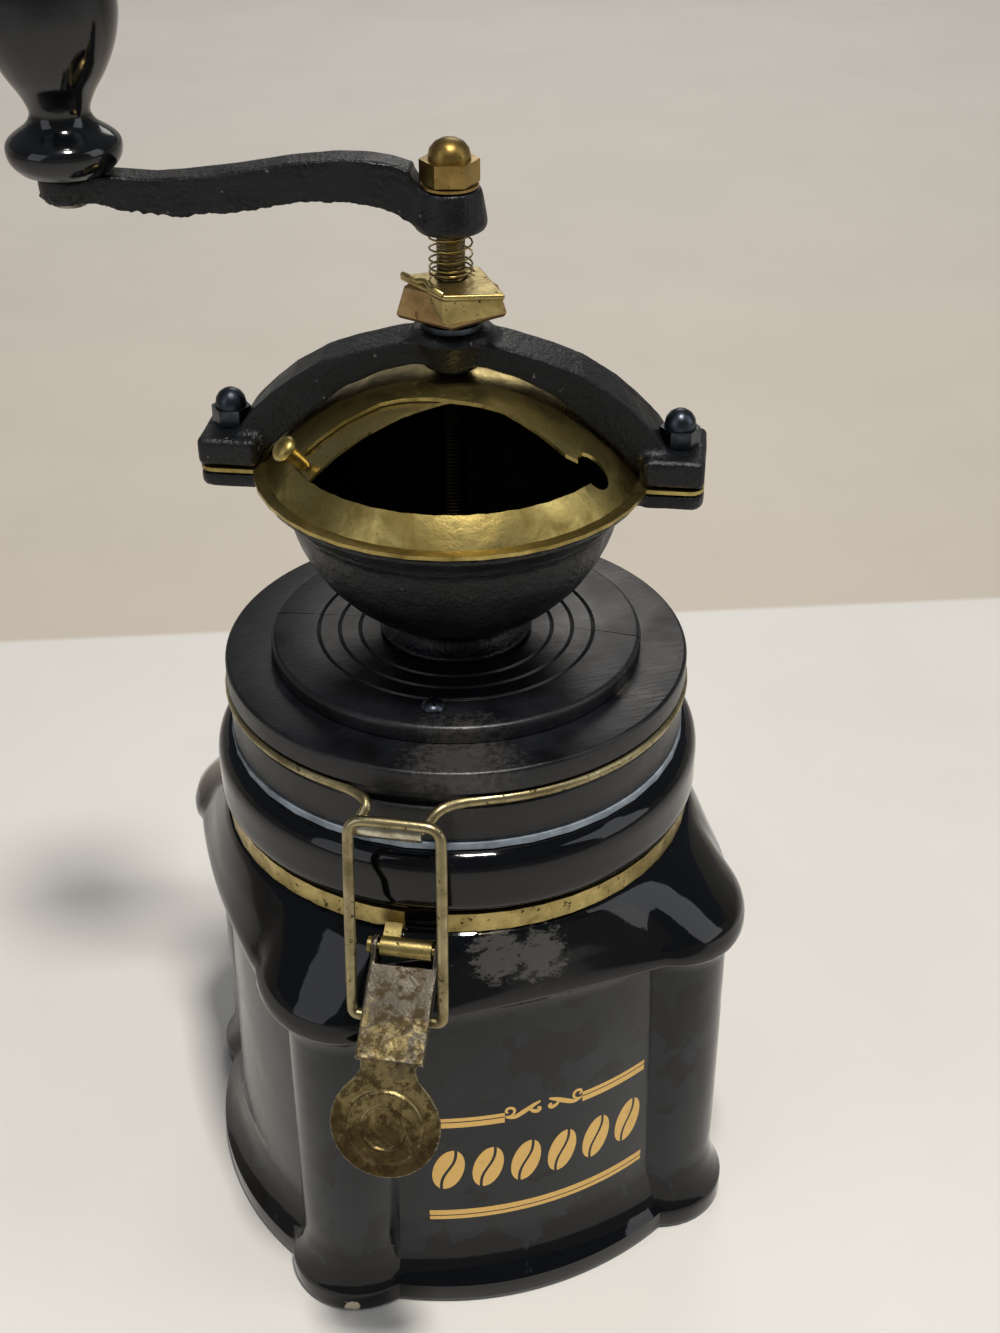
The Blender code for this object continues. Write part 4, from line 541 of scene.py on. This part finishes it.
jarSizes = {
    "baseFace": 60.3, "baseCorner": 15.8, "footFace": 54.8, "topFace": 53.5, "bodyCorner": 12.6,
    "lipFace": 57.2, "lipCorner": 22.2, "lipFaceArc": 190.0, "lipCornerReach": 47.0,
    "faceArc": 72.0, "cornerReach": 53.3, "edgeRound": 1.5, "plinth": 5.5, "flare": 10.5,
    "lipTop": 92.3, "lipDrop": 4.1, "lipHeight": 9.0, "shoulderCrown": 0.5,
    "neckBottom": 103.2, "neckRadius": 50.7, "groove": 5.4, "bulge": 53.2, "height": 122.8,
    "mouth": 43.0, "mouthRound": 1.5, "wall": 5.0, "floor": 8.0, "grooveRound": 0.3,
    # the curves are points of (share of the height, share of the spread)
    "flareCurve": ((0.0, 1.0), (0.22, 0.62), (0.55, 0.24), (1.0, 0.0)),
    "lipCurve": ((1.0, 0.0), (0.80, 0.30), (0.64, 0.80), (0.48, 1.0), (0.26, 0.97), (0.0, 0.78)),
    "bulgeCurve": ((0.0, 0.0), (0.06, 0.6), (0.21, 1.0), (0.70, 1.0), (0.90, 0.6), (1.0, -0.1)),
    "facePoints": 22, "cornerPoints": 16, "bodySteps": 24, "shoulderSteps": 9,
    "wobble": 0.14, "wobbleLength": 26.0, "wobbleFrom": 0.5, "wobbleTo": 95,
}


def jarOutline(face, corner, faceArc=jarSizes["faceArc"], cornerReach=jarSizes["cornerReach"]):
    # four bowed faces and four round corner columns, counterclockwise from the +X face
    bowCentre = Vector((face - faceArc, 0.0))
    side = cornerReach / math.sqrt(2.0)
    column = Vector((side, side))
    between = column - bowCentre
    along = (faceArc ** 2 - corner ** 2 + between.length ** 2) / (2 * between.length)
    across = math.sqrt(max(faceArc ** 2 - along ** 2, 0.0))
    unit = between.normalized()
    crease = bowCentre + unit * along + Vector((unit.y, -unit.x)) * across
    bow = math.atan2(crease.y, crease.x - bowCentre.x)
    start = math.atan2(crease.y - side, crease.x - side)

    def arcPoints(centre, radius, first, last, count):
        angles = [first + (last - first) * i / (count - 1) for i in range(count - 1)]
        return [centre + Vector((math.cos(a), math.sin(a))) * radius for a in angles]

    quarter = arcPoints(bowCentre, faceArc, -bow, bow, jarSizes["facePoints"])
    quarter += arcPoints(column, corner, start, math.pi / 2 - start, jarSizes["cornerPoints"])
    return [Matrix.Rotation(math.pi / 2 * turn, 2) @ point for turn in range(4) for point in quarter]


def makeJar():
    s = jarSizes
    base = jarOutline(s["baseFace"], s["baseCorner"])
    foot = jarOutline(s["footFace"], s["bodyCorner"])
    top = jarOutline(s["topFace"], s["bodyCorner"])
    lip = jarOutline(s["lipFace"], s["lipCorner"], s["lipFaceArc"], s["lipCornerReach"])
    lipReach = s["lipCornerReach"] + s["lipCorner"]
    edge = [s["lipTop"] - s["lipDrop"] * (p.length - s["lipFace"]) / (lipReach - s["lipFace"]) for p in lip]
    rings = []

    def level(outline, heights):
        heights = heights if isinstance(heights, list) else [heights] * len(outline)
        rings.append([Vector((p.x, p.y, z)) for p, z in zip(outline, heights)])

    def between(a, b, share):
        return [p * (1 - share) + q * share for p, q in zip(a, b)]

    def circleLike(outline, radius):
        return [p.normalized() * radius for p in outline]

    for angle in (0, 22, 45, 67, 90):
        inset = s["edgeRound"] * (1 - math.sin(math.radians(angle)))
        level(jarOutline(s["baseFace"] - inset, s["baseCorner"] - inset),
              s["edgeRound"] * (1 - math.cos(math.radians(angle))))
    level(base, s["plinth"] * 0.8)
    for rise, spread in easeCurve(s["flareCurve"]):
        level(between(foot, base, spread), s["plinth"] + s["flare"] * rise)
    bodyLow = s["plinth"] + s["flare"]
    bodyHigh = [z - s["lipHeight"] for z in edge]
    for step in range(1, s["bodySteps"]):
        share = step / s["bodySteps"]
        level(between(foot, top, share), [bodyLow + (z - bodyLow) * share for z in bodyHigh])
    for drop, spread in easeCurve(s["lipCurve"]):
        level(between(top, lip, min(spread, 1.0)), [z - s["lipHeight"] * drop for z in edge])
    lipEdge = between(top, lip, s["lipCurve"][-1][1])
    neckFoot = circleLike(lip, s["neckRadius"] + s["edgeRound"])
    for step in range(1, s["shoulderSteps"]):
        share = step / s["shoulderSteps"]
        crown = s["shoulderCrown"] * 4 * share * (1 - share)
        level(between(lipEdge, neckFoot, share), [z + (s["neckBottom"] - z) * share + crown for z in edge])
    grooveTop = s["neckBottom"] + s["groove"]
    level(neckFoot, s["neckBottom"] - s["grooveRound"])
    level(circleLike(lip, s["neckRadius"] + s["grooveRound"]), s["neckBottom"] - 0.05)
    level(circleLike(lip, s["neckRadius"]), s["neckBottom"] + s["grooveRound"])
    level(circleLike(lip, s["neckRadius"]), grooveTop)
    for rise, spread in easeCurve(s["bulgeCurve"])[1:]:
        radius = s["neckRadius"] + (s["bulge"] - s["neckRadius"]) * min(spread, 1.0)
        level(circleLike(lip, radius), grooveTop + (s["height"] - grooveTop) * min(rise, 1.0))
    for angle in (0, 30, 60, 90):
        inset = s["mouthRound"] * (1 - math.sin(math.radians(angle)))
        drop = s["mouthRound"] * (1 - math.cos(math.radians(angle)))
        level(circleLike(lip, s["mouth"] + inset), s["height"] - drop)
    level(circleLike(lip, s["mouth"]), s["neckBottom"])
    level(jarOutline(s["topFace"] - s["wall"], s["bodyCorner"] - s["wall"]), s["lipTop"] - s["lipHeight"])
    innerFoot = jarOutline(s["footFace"] - s["wall"], s["bodyCorner"] - s["wall"])
    level(innerFoot, s["floor"] + s["wall"])
    level(between(innerFoot, circleLike(innerFoot, s["mouth"]), 0.2), s["floor"])

    # the rounded square has no primitive, so its rings are laid in code and bridged
    shape = bmesh.new()
    rows = []
    for ring in rings:
        row = []
        for point in ring:
            outward = Vector((point.x, point.y, 0)).normalized()
            slip = s["wobble"] * (noise.noise(point / s["wobbleLength"]) - 0.6)
            if s["wobbleFrom"] < point.z < s["wobbleTo"]:
                point = point + outward * min(slip, 0.0)
            row.append(shape.verts.new(point * mm))
        rows.append(row)
    count = len(rows[0])
    for lower, upper in zip(rows, rows[1:]):
        for i in range(count):
            j = (i + 1) % count
            shape.faces.new((lower[i], lower[j], upper[j], upper[i]))
    shape.faces.new(list(reversed(rows[0])))
    shape.faces.new(rows[-1])
    jar = objectFrom(shape, "glazedJar")
    smooth(jar, 40)
    return dress(jar, glaze, "jar")


glazedJar = makeJar()
print("jar made")


borderSizes = {
    "left": -24.0, "right": 28.0, "low": 22.0, "high": 53.0, "film": 0.03, "lift": 0.012,
    "rule": 2.8, "thickShare": 0.52, "gapShare": 0.12, "thinShare": 0.36,
}
scrollSizes = {
    "middle": 2.0, "half": 9.2, "rise": 0.55,
    "curlX": 8.2, "curlZ": 1.75, "curlPoints": 15, "curlFirst": 250, "curlTurn": 27,
    "curlStart": 0.45, "curlGrow": 0.085,
    "wave": ((8.9, 0.15), (7.0, -0.2), (4.8, 0.9), (2.6, 2.2), (1.0, 2.9)),
    "leaf": ((3.4, 1.2), (2.6, 0.4), (1.6, 0.2), (1.2, 0.9), (1.7, 1.3)),
    "widths": (0.62, 1.15, 1.0), "thinnest": 0.12,
}
beanSizes = {"number": 6, "height": 12.0, "width": 6.6, "drop": 0.1, "lean": -14, "seam": 0.34, "sway": 0.62,
             "rows": 17, "columns": 5, "tip": 0.985, "least": 0.05}


def onJar(tree, x, z):
    hit, normal = tree.ray_cast(Vector((x * mm, -0.1, z * mm)), Vector((0, 1, 0)))[:2]
    return hit + normal * borderSizes["lift"] * mm


def goldShape(name, rows):
    # rows of (x, z) points in millimetres, laid on the glaze and bridged into a thin film
    tree = BVHTree.FromObject(glazedJar, bpy.context.evaluated_depsgraph_get())
    shape = bmesh.new()
    for group in rows:
        made = [[shape.verts.new(onJar(tree, x, z)) for x, z in row] for row in group]
        for lower, upper in zip(made, made[1:]):
            for i in range(len(lower) - 1):
                shape.faces.new((lower[i], lower[i + 1], upper[i + 1], upper[i]))
    piece = objectFrom(shape, name)
    film = piece.modifiers.new("film", "SOLIDIFY")
    film.thickness = borderSizes["film"] * mm
    film.offset = 1.0
    applyAll(piece)
    dress(piece, goldPrint, body="jar")


def ruleRows(left, right, low, high, columns=40):
    xs = [left + (right - left) * i / columns for i in range(columns + 1)]
    return [[(x, low) for x in xs], [(x, (low + high) / 2) for x in xs], [(x, high) for x in xs]]


def ribbonRows(points, widths):
    left, right = [], []
    for i, (x, z) in enumerate(points):
        a = points[max(i - 1, 0)]
        b = points[min(i + 1, len(points) - 1)]
        along = Vector((b[0] - a[0], b[1] - a[1])).normalized()
        half = widths[i] / 2
        left.append((x + along.y * half, z - along.x * half))
        right.append((x - along.y * half, z + along.x * half))
    return [left, right] if points[0][0] <= points[-1][0] else [right, left]


def makeRules():
    s, scroll = borderSizes, scrollSizes
    thick, gap, thin = s["rule"] * s["thickShare"], s["rule"] * s["gapShare"], s["rule"] * s["thinShare"]
    leftEnd, rightEnd = scroll["middle"] - scroll["half"], scroll["middle"] + scroll["half"]
    groups = []
    for a, b in ((s["left"], leftEnd), (rightEnd, s["right"])):
        groups.append(ruleRows(a, b, s["high"] - s["rule"], s["high"] - s["rule"] + thick, 20))
        groups.append(ruleRows(a, b, s["high"] - thin, s["high"], 20))
    groups.append(ruleRows(s["left"], s["right"], s["low"] + s["rule"] - thick, s["low"] + s["rule"]))
    groups.append(ruleRows(s["left"], s["right"], s["low"], s["low"] + s["rule"] - thick - gap))
    goldShape("goldRules", groups)


def makeScroll():
    # each half of the scroll: a curl that springs from the rule, a long wave and a small leaf
    s = scrollSizes
    top = borderSizes["high"] - borderSizes["rule"] * s["rise"]
    groups = []
    for side in (-1, 1):
        curl = []
        for i in range(s["curlPoints"]):
            turn = math.radians(s["curlFirst"] - i * s["curlTurn"])
            radius = s["curlStart"] + s["curlGrow"] * i
            curl.append((side * (s["curlX"] - radius * math.cos(turn)),
                         top + s["curlZ"] + radius * math.sin(turn)))
        wave = easeCurve([(side * x, top + z) for x, z in s["wave"]], 5)
        leaf = easeCurve([(side * x, top + z) for x, z in s["leaf"]])
        for points, wide in zip((curl, wave, leaf), s["widths"]):
            number = len(points)
            shares = [math.sin(math.pi * (0.12 + 0.80 * i / (number - 1))) for i in range(number)]
            moved = [(x + s["middle"], z) for x, z in points]
            groups.append(ribbonRows(moved, [wide * share + s["thinnest"] for share in shares]))
    goldShape("goldScroll", groups)


def makeBeans():
    # a plain row of coffee beans between the rules, each split by its own seam
    s, border = beanSizes, borderSizes
    middle = (border["low"] + border["high"]) / 2 - s["drop"]
    lean = math.radians(s["lean"])
    groups = []
    for number in range(s["number"]):
        x = border["left"] + (border["right"] - border["left"]) * (number + 0.5) / s["number"]
        for side in (-1, 1):
            rows = []
            for i in range(s["rows"]):
                share = max(-s["tip"], min(s["tip"], -1 + 2 * i / (s["rows"] - 1)))
                start = s["sway"] * math.sin(share * math.pi * 0.9) + side * s["seam"]
                stop = side * (s["width"] / 2 * math.sqrt(1 - share ** 2))
                if side * (stop - start) < s["least"]:
                    stop = start + side * s["least"]
                row = []
                for j in range(s["columns"]):
                    px = start + (stop - start) * j / (s["columns"] - 1)
                    pz = share * s["height"] / 2
                    row.append((x + px * math.cos(lean) - pz * math.sin(lean),
                                middle + px * math.sin(lean) + pz * math.cos(lean)))
                rows.append(row if side > 0 else row[::-1])
            groups.append(rows)
    goldShape("goldBeans", groups)


makeRules()
makeScroll()
makeBeans()
print("gold border made")


lidSizes = {"bottom": 124.9, "top": 142.0, "radius": 50.0, "lower": 49.5, "edge": 0.8, "bore": 20.3,
            "grooveLow": 8.5, "groove": 3.4, "grooveFloor": 48.05, "grooveEdge": 0.3, "grooveDraft": 0.1,
            "plug": 41.0, "plugBottom": 121.5, "plugEdge": 0.4, "covered": 40.5, "steps": 128}
raisedSizes = {"bottom": 142.3, "top": 145.9, "radius": 39.9, "edge": 1.1, "hole": 12.6,
               "rings": (29.6, 25.1, 20.7), "ringWidth": 0.9, "ringDepth": 0.5, "steps": 128,
               "ringCurve": ((-1, 0), (-0.6, 0.35), (-0.25, 0.9), (0, 1), (0.25, 0.9), (0.6, 0.35), (1, 0)),
               "checks": (((-37.6, 18.2), (-20.5, 11.2), 0.42), ((21.5, -7.9), (37.2, -18.3), 0.36)),
               "checkDepth": 1.6, "checkExtra": 5.0, "checkCuts": 5, "checkTaper": 0.85, "checkWander": 0.35}


def roundedEdge(radius, height, size, up=True, steps=4):
    # quarter turn from the flat top out to the side, or from the side in to the flat underside
    points = []
    for i in range(steps + 1):
        turn = math.pi / 2 * i / steps
        if up:
            points.append((radius - size + size * math.sin(turn), height - size + size * math.cos(turn)))
        else:
            points.append((radius - size + size * math.cos(turn), height + size - size * math.sin(turn)))
    return points


def makeLid():
    s = lidSizes
    grooveLow = s["bottom"] + s["grooveLow"]
    grooveTop = grooveLow + s["groove"]
    edge, draft = s["grooveEdge"], s["grooveDraft"]
    outline = [(s["bore"], s["top"]), (s["covered"], s["top"])]
    outline += roundedEdge(s["radius"], s["top"], s["edge"])
    outline += [(s["radius"], grooveTop + edge), (s["radius"] - edge, grooveTop),
                (s["grooveFloor"], grooveTop - draft), (s["grooveFloor"], grooveLow + draft),
                (s["lower"] - edge, grooveLow), (s["lower"], grooveLow - edge)]
    outline += roundedEdge(s["lower"], s["bottom"], s["edge"], False)
    outline += [(s["plug"], s["bottom"]), (s["plug"], s["plugBottom"] + s["plugEdge"]),
                (s["plug"] - s["plugEdge"], s["plugBottom"]), (s["bore"], s["plugBottom"])]
    lid = turnedPiece("ebonisedLid", [(r * mm, z * mm) for r, z in outline], steps=s["steps"], closed=True)
    dress(lid, wood, "lid_disc")


def makeRaised():
    s = raisedSizes
    outline = [(s["hole"], s["top"])]
    for radius in reversed(s["rings"]):
        half = s["ringWidth"] / 2
        for share, depth in s["ringCurve"]:
            outline.append((radius + half * share, s["top"] - s["ringDepth"] * depth))
    outline += roundedEdge(s["radius"], s["top"], s["edge"])
    outline += [(s["radius"], s["bottom"]), (s["hole"], s["bottom"])]
    disc = turnedPiece("raisedDisc", [(r * mm, z * mm) for r, z in outline], steps=s["steps"], closed=True)
    # two checks that opened along the grain, wide at the rim and closed towards the middle
    for start, end, wide in s["checks"]:
        a, b = Vector((*start, 0)), Vector((*end, 0))
        along = (b - a).normalized()
        rim = (a if a.length > b.length else b) * mm
        clearPick()
        bpy.ops.mesh.primitive_cube_add(size=1, location=(*((a + b) / 2 * mm).xy, s["top"] * mm))
        cutter = bpy.context.object
        cutter.dimensions = ((b - a).length * mm + s["checkExtra"] * mm, wide * mm, s["checkDepth"] * mm)
        cutter.rotation_euler = (0, 0, math.atan2(along.y, along.x))
        settle(cutter)
        openAll()
        bpy.ops.mesh.subdivide(number_cuts=s["checkCuts"])
        closeEdit()
        for vertex in cutter.data.vertices:
            flat = Vector((vertex.co.x, vertex.co.y, 0))
            share = min((flat - rim).length / ((b - a).length * mm), 1.0)
            line = a * mm + along * ((flat - a * mm).dot(along))
            across = (flat - line) * (1.0 - s["checkTaper"] * share)
            wander = Vector((-along.y, along.x, 0)) * noise.noise(line * 400) * s["checkWander"] * mm
            vertex.co.x, vertex.co.y = (line + across + wander).xy
        cutAway(disc, cutter)
    smooth(disc, 40)
    dress(disc, wood, "raised_disc")


makeLid()
makeRaised()
dress(copyOf("gasket", "rubberGasket"), rubber, "gasket")
print("discs and gasket made")


knobSizes = {
    "azimuth": 156.7, "reach": 73.4, "bottom": 244.2, "height": 46.0, "bulb": 12.9,
    "pinHole": 2.3, "sink": 4.5, "sinkDepth": 1.8, "steps": 72,
    "shares": ((0.0, 1.0), (0.30, 0.992), (0.60, 0.955), (0.85, 0.885), (0.975, 0.79), (1.0, 0.69),
               (0.985, 0.60), (0.90, 0.50), (0.74, 0.40), (0.56, 0.32), (0.46, 0.26), (0.45, 0.225),
               (0.54, 0.185), (0.74, 0.145), (0.84, 0.115), (0.853, 0.075), (0.80, 0.035), (0.68, 0.0)),
}


def makeKnob():
    s = knobSizes
    centre = polar(s["reach"] * mm, s["azimuth"])
    curve = [(min(r, 1.0) * s["bulb"], s["bottom"] + s["height"] * max(min(h, 1.0), 0.0))
             for r, h in easeCurve(s["shares"])]
    outer = [point for point in curve if point[0] > s["sink"]]
    top = s["bottom"] + s["height"]
    outline = [(s["pinHole"], s["bottom"]), (s["pinHole"], top - s["sinkDepth"]),
               (s["sink"], top - s["sinkDepth"]), (s["sink"], outer[0][1] + 0.02)] + outer
    knob = turnedPiece("turnedKnob", [(r * mm, z * mm) for r, z in outline], centre.xy, s["steps"], True)
    dress(knob, lacquer, "handle_knob")


makeKnob()
print("knob made")


# node: (name, grain of the skin, softening rounds, unevenness, fillet), lengths in mm
castSizes = {
    "hopper_bowl": ("castHopper", 0.60, 4, 0.10, 0.8), "yoke": ("castYoke", 0.42, 10, 0.14, 1.2),
    "lower_bridge": ("castBridge", 0.55, 3, 0.06, 0.0), "burr_ring": ("castBurrRing", 0.60, 3, 0.04, 0.0),
    "crank_arm": ("castCrank", 0.42, 26, 0.20, 2.0),
}
flashSizes = {"rag": 0.42, "hub": 8.0, "under": -0.15, "coarse": 620, "fine": 1500}
for node, (name, grain, softening, unevenness, fillet) in castSizes.items():
    piece = castCopy(node, name, grain * mm, softening, unevenness * mm, fillet * mm)
    if node == "crank_arm":
        # the mould's flash was never dressed off the underside
        for vertex in piece.data.vertices:
            if vertex.normal.z < flashSizes["under"] and abs(vertex.co.x) > flashSizes["hub"] * mm:
                rag = noise.noise(vertex.co * flashSizes["coarse"])
                rag += 0.5 * noise.noise(vertex.co * flashSizes["fine"])
                vertex.co += vertex.normal * flashSizes["rag"] * mm * rag
    dress(piece, castIron, node)
print("cast pieces made")


# node: (name, grain of the skin in mm, softening rounds, material)
sheetSizes = {
    "lever": ("pressedLever", 0.26, 2, wornPlate), "lock_clip": ("foldedLockClip", 0.18, 8, brassPlate),
    "adjusting_nut": ("brassAdjuster", 0.22, 1, brassBlock),
}
for node, (name, grain, softening, material) in sheetSizes.items():
    dress(castCopy(node, name, grain * mm, softening, 0.05 * mm, wavelength=5 * mm), material, node)
print("pressed pieces made")


# pieces that keep the CAD's own form under a smoothed skin: (name, material, rounds of subdivision)
plainPieces = {
    "neck_band": ("brassNeckBand", brassPlate, 0), "lever_pin": ("leverPin", brassPlate, 0),
    "bail_wire": ("bentBail", brassWire, 1), "lid_wire": ("bentLidWire", brassWire, 1),
    "lid_screw_front": ("frontLidScrew", darkSteel, 0), "lid_screw_rear": ("rearLidScrew", darkSteel, 0),
    "cover_fixed": ("domedCover", brassRim, 0), "cover_slider": ("slidingCover", brassPlate, 0),
    "cover_knob": ("coverKnob", brassRim, 1),
    "yoke_bolt_left": ("leftYokeBolt", darkSteel, 0), "yoke_bolt_right": ("rightYokeBolt", darkSteel, 0),
    "acorn_nut_left": ("leftAcornNut", darkSteel, 0), "acorn_nut_right": ("rightAcornNut", darkSteel, 0),
    "burr_screw_1": ("burrScrewOne", plainSteel, 0), "burr_screw_2": ("burrScrewTwo", plainSteel, 0),
    "burr_screw_3": ("burrScrewThree", plainSteel, 0),
    "shaft": ("threadedShaft", threadedSteel, 0), "bush": ("steelBush", darkSteel, 0),
    "burr_cone": ("grindingCone", plainSteel, 0), "burr_nut": ("burrNut", plainSteel, 0),
    "crank_washer": ("crankWasher", brassNut, 0), "crank_nut": ("domedCrankNut", brassNut, 0),
    "knob_pin": ("knobPin", plainSteel, 0), "spring": ("coiledSpring", springSteel, 1),
}
for node, (name, material, rounds) in plainPieces.items():
    dress(copyOf(node, name, angle=32, rounds=rounds), material, node)
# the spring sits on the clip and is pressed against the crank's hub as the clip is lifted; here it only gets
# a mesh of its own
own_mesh(bpy.data.objects["coiledSpring"])
print("plain pieces made")


# the flattened bar at the lid wire's nose, which the bail hooks over
noseSizes = {"azimuth": -118.5, "reach": 54.8, "across": -3.3, "height": 130.9, "length": 13.6,
             "radius": 1.9, "thickness": 0.85, "round": 1.4}


def makeNoseBar():
    s = noseSizes
    outward = polar(1.0, s["azimuth"])
    sideways = Vector((-outward.y, outward.x, 0))
    place = outward * s["reach"] + sideways * s["across"] + Vector((0, 0, s["height"]))
    clearPick()
    bpy.ops.mesh.primitive_cylinder_add(vertices=40, radius=s["radius"] * mm, depth=s["length"] * mm)
    bar = bpy.context.object
    bar.name = "noseBar"
    openAll()
    bpy.ops.mesh.bevel(offset=s["round"] * mm, segments=6, affect="EDGES", clamp_overlap=True)
    bpy.ops.mesh.select_all(action="SELECT")
    bpy.ops.mesh.remove_doubles(threshold=0.00001)
    closeEdit()
    bar.scale = (1.0, s["thickness"], 1.0)
    bar.rotation_euler = Matrix((outward.cross(sideways), outward, sideways)).transposed().to_euler()
    bar.location = place * mm
    settle(bar)
    smooth(bar, 40)
    dress(bar, rubbedSteel, body="lid")


makeNoseBar()
print("nose bar made")


# the curled lip that runs along the lock clip's open edge
lipSizes = {"start": (-8.7, 3.4), "end": (-4.6, -9.4), "height": 224.9, "wire": 0.62, "points": 15,
            "wave": 0.8, "waves": 3.0, "sideShare": 0.8, "riseShare": 0.7}


def makeClipLip():
    s = lipSizes
    start, end = Vector((*s["start"], s["height"])), Vector((*s["end"], s["height"]))
    side = Vector((end.y - start.y, start.x - end.x, 0)).normalized()
    clearPick()
    bpy.ops.curve.primitive_nurbs_path_add(location=(0, 0, 0))
    bpy.ops.object.mode_set(mode="EDIT")
    bpy.ops.curve.select_all(action="SELECT")
    bpy.ops.curve.delete(type="VERT")
    for i in range(s["points"]):
        share = i / (s["points"] - 1)
        sway = math.sin(share * math.pi * s["waves"]) * s["wave"] * (0.4 + share)
        rise = Vector((0, 0, abs(sway) * s["riseShare"]))
        point = start.lerp(end, share) + side * sway * s["sideShare"] + rise
        bpy.ops.curve.vertex_add(location=point * mm)
    closeEdit()
    lip = bpy.context.object
    lip.name = "curledLip"
    lip.data.dimensions = "3D"
    lip.data.bevel_depth = s["wire"] * mm
    lip.data.bevel_resolution = 4
    lip.data.use_fill_caps = True
    lip.data.resolution_u = 6
    bpy.ops.object.convert(target="MESH")
    lip = bpy.context.object
    settle(lip)
    smooth(lip, 50)
    dress(lip, brassPlate, body="clip")


makeClipLip()
print("clip lip made")


roomSizes = {
    "table": "#e6e3dc", "beyond": "#cfc5b6", "distance": "#fffaf0", "fade": 0.9, "edgeBlur": 0.0015,
    "edgeLeft": (-0.0880, 0.2725), "edgeRight": (0.2712, 0.1831), "clouds": 90.0, "cloudDim": 0.95,
    "inner": 0.6, "flat": 1.7, "cove": 0.75, "coveSteps": 12, "sky": "#dbe2ec", "skyStrength": 0.16,
}
lampSizes = {
    "ceilingPanel": {"place": (-0.015, -0.33, 1.31), "target": 0.10, "size": (0.15, 0.15), "power": 14.0,
                     "tone": "#fffaf4"},
    "windowRight": {"place": (1.2, -0.7, 0.9), "target": 0.12, "size": (0.8, 1.3), "power": 5.0,
                    "tone": "#fafcff"},
    "leftFill": {"place": (-1.3, -0.5, 0.8), "target": 0.12, "size": (0.8, 1.3), "power": 3.5,
                 "tone": "#f6f8ff"},
    "backFill": {"place": (0.55, 1.25, 1.0), "target": 0.12, "size": (0.6, 0.6), "power": 3.0,
                 "tone": "#fffaf4"},
}
cameraSizes = {"place": (-0.10312, -0.33108, 0.35518), "forward": (0.27300, 0.79891, -0.53592),
               "lens": 67.356, "sensor": 36.0, "nearest": 0.01}


def roomMaterial():
    # matt laminate: a white table top that gives way to a beige ground behind the object
    s = roomSizes
    material, shader = newMaterial("paleMattLaminate", {"Roughness": 0.55})
    left, right = Vector((*s["edgeLeft"], 0)), Vector((*s["edgeRight"], 0))
    along = (right - left).normalized()
    behind = Vector((-along.y, along.x, 0))
    place = addNode(material, "ShaderNodeTexCoord")
    depth = addNode(material, "ShaderNodeVectorMath", {"operation": "DOT_PRODUCT", 1: tuple(behind)},
                    {0: place.outputs["Object"]})
    edge = behind.dot(left)

    def depthShare(start, end):
        return addNode(material, "ShaderNodeMapRange", {"From Min": start, "From Max": end},
                       {"Value": depth.outputs["Value"]}).outputs["Result"]

    cloud = pattern(material, s["clouds"] * mm, 3)
    tones = []
    for tone in (s["table"], s["beyond"], s["distance"]):
        dim = [value * s["cloudDim"] for value in toLinear(tone)[:3]] + [1.0]
        tones.append(ramp(material, cloud, 0.3, 0.7, tone, dim))
    ground = mixColor(material, depthShare(edge, edge + s["fade"]), tones[1], tones[2])
    atEdge = depthShare(edge - s["edgeBlur"], edge + s["edgeBlur"])
    feed(material, shader, Base_Color=mixColor(material, atEdge, tones[0], ground))
    bumps(material, shader, pattern(material, 2.5 * mm, 3), 0.03 * mm)
    return material


def makeRoom():
    s = roomSizes
    outline = [(0.0, 0.0), (s["inner"], 0.0), (s["flat"], 0.0)]
    for step in range(1, s["coveSteps"] + 1):
        turn = math.pi / 2 * step / s["coveSteps"]
        outline.append((s["flat"] + s["cove"] * math.sin(turn), s["cove"] * (1 - math.cos(turn))))
    floor = turnedPiece("floor", outline)
    floor.data.materials.append(roomMaterial())


def makeLamps():
    for name, s in lampSizes.items():
        clearPick()
        bpy.ops.object.light_add(type="AREA", location=s["place"])
        lamp = bpy.context.object
        lamp.name = name
        lamp.data.shape = "RECTANGLE"
        lamp.data.size, lamp.data.size_y = s["size"]
        lamp.data.energy = s["power"]
        lamp.data.color = toLinear(s["tone"])[:3]
        lamp.visible_camera = False
        aim = Vector((0, 0, s["target"])) - Vector(s["place"])
        lamp.rotation_euler = aim.to_track_quat("-Z", "Y").to_euler()
    world = bpy.context.scene.world or bpy.data.worlds.new("studio")
    bpy.context.scene.world = world
    world.use_nodes = True
    sky = world.node_tree.nodes["Background"].inputs
    sky["Color"].default_value = toLinear(roomSizes["sky"])
    sky["Strength"].default_value = roomSizes["skyStrength"]


def makeCamera():
    s = cameraSizes
    data = bpy.data.cameras.new("photoView")
    camera = newObject("photoView", data)
    data.sensor_fit = "HORIZONTAL"
    data.sensor_width = s["sensor"]
    data.lens = s["lens"]
    data.clip_start = s["nearest"]
    forward = Vector(s["forward"]).normalized()
    side = forward.cross(Vector((0, 0, 1))).normalized()
    up = side.cross(forward)
    rows = zip(side, up, -forward, s["place"])
    camera.matrix_world = Matrix([*rows, (0, 0, 0, 1)])
    bpy.context.scene.camera = camera


makeRoom()
makeLamps()
makeCamera()
bpy.context.scene.view_settings.view_transform = "Standard"
print("room ready")
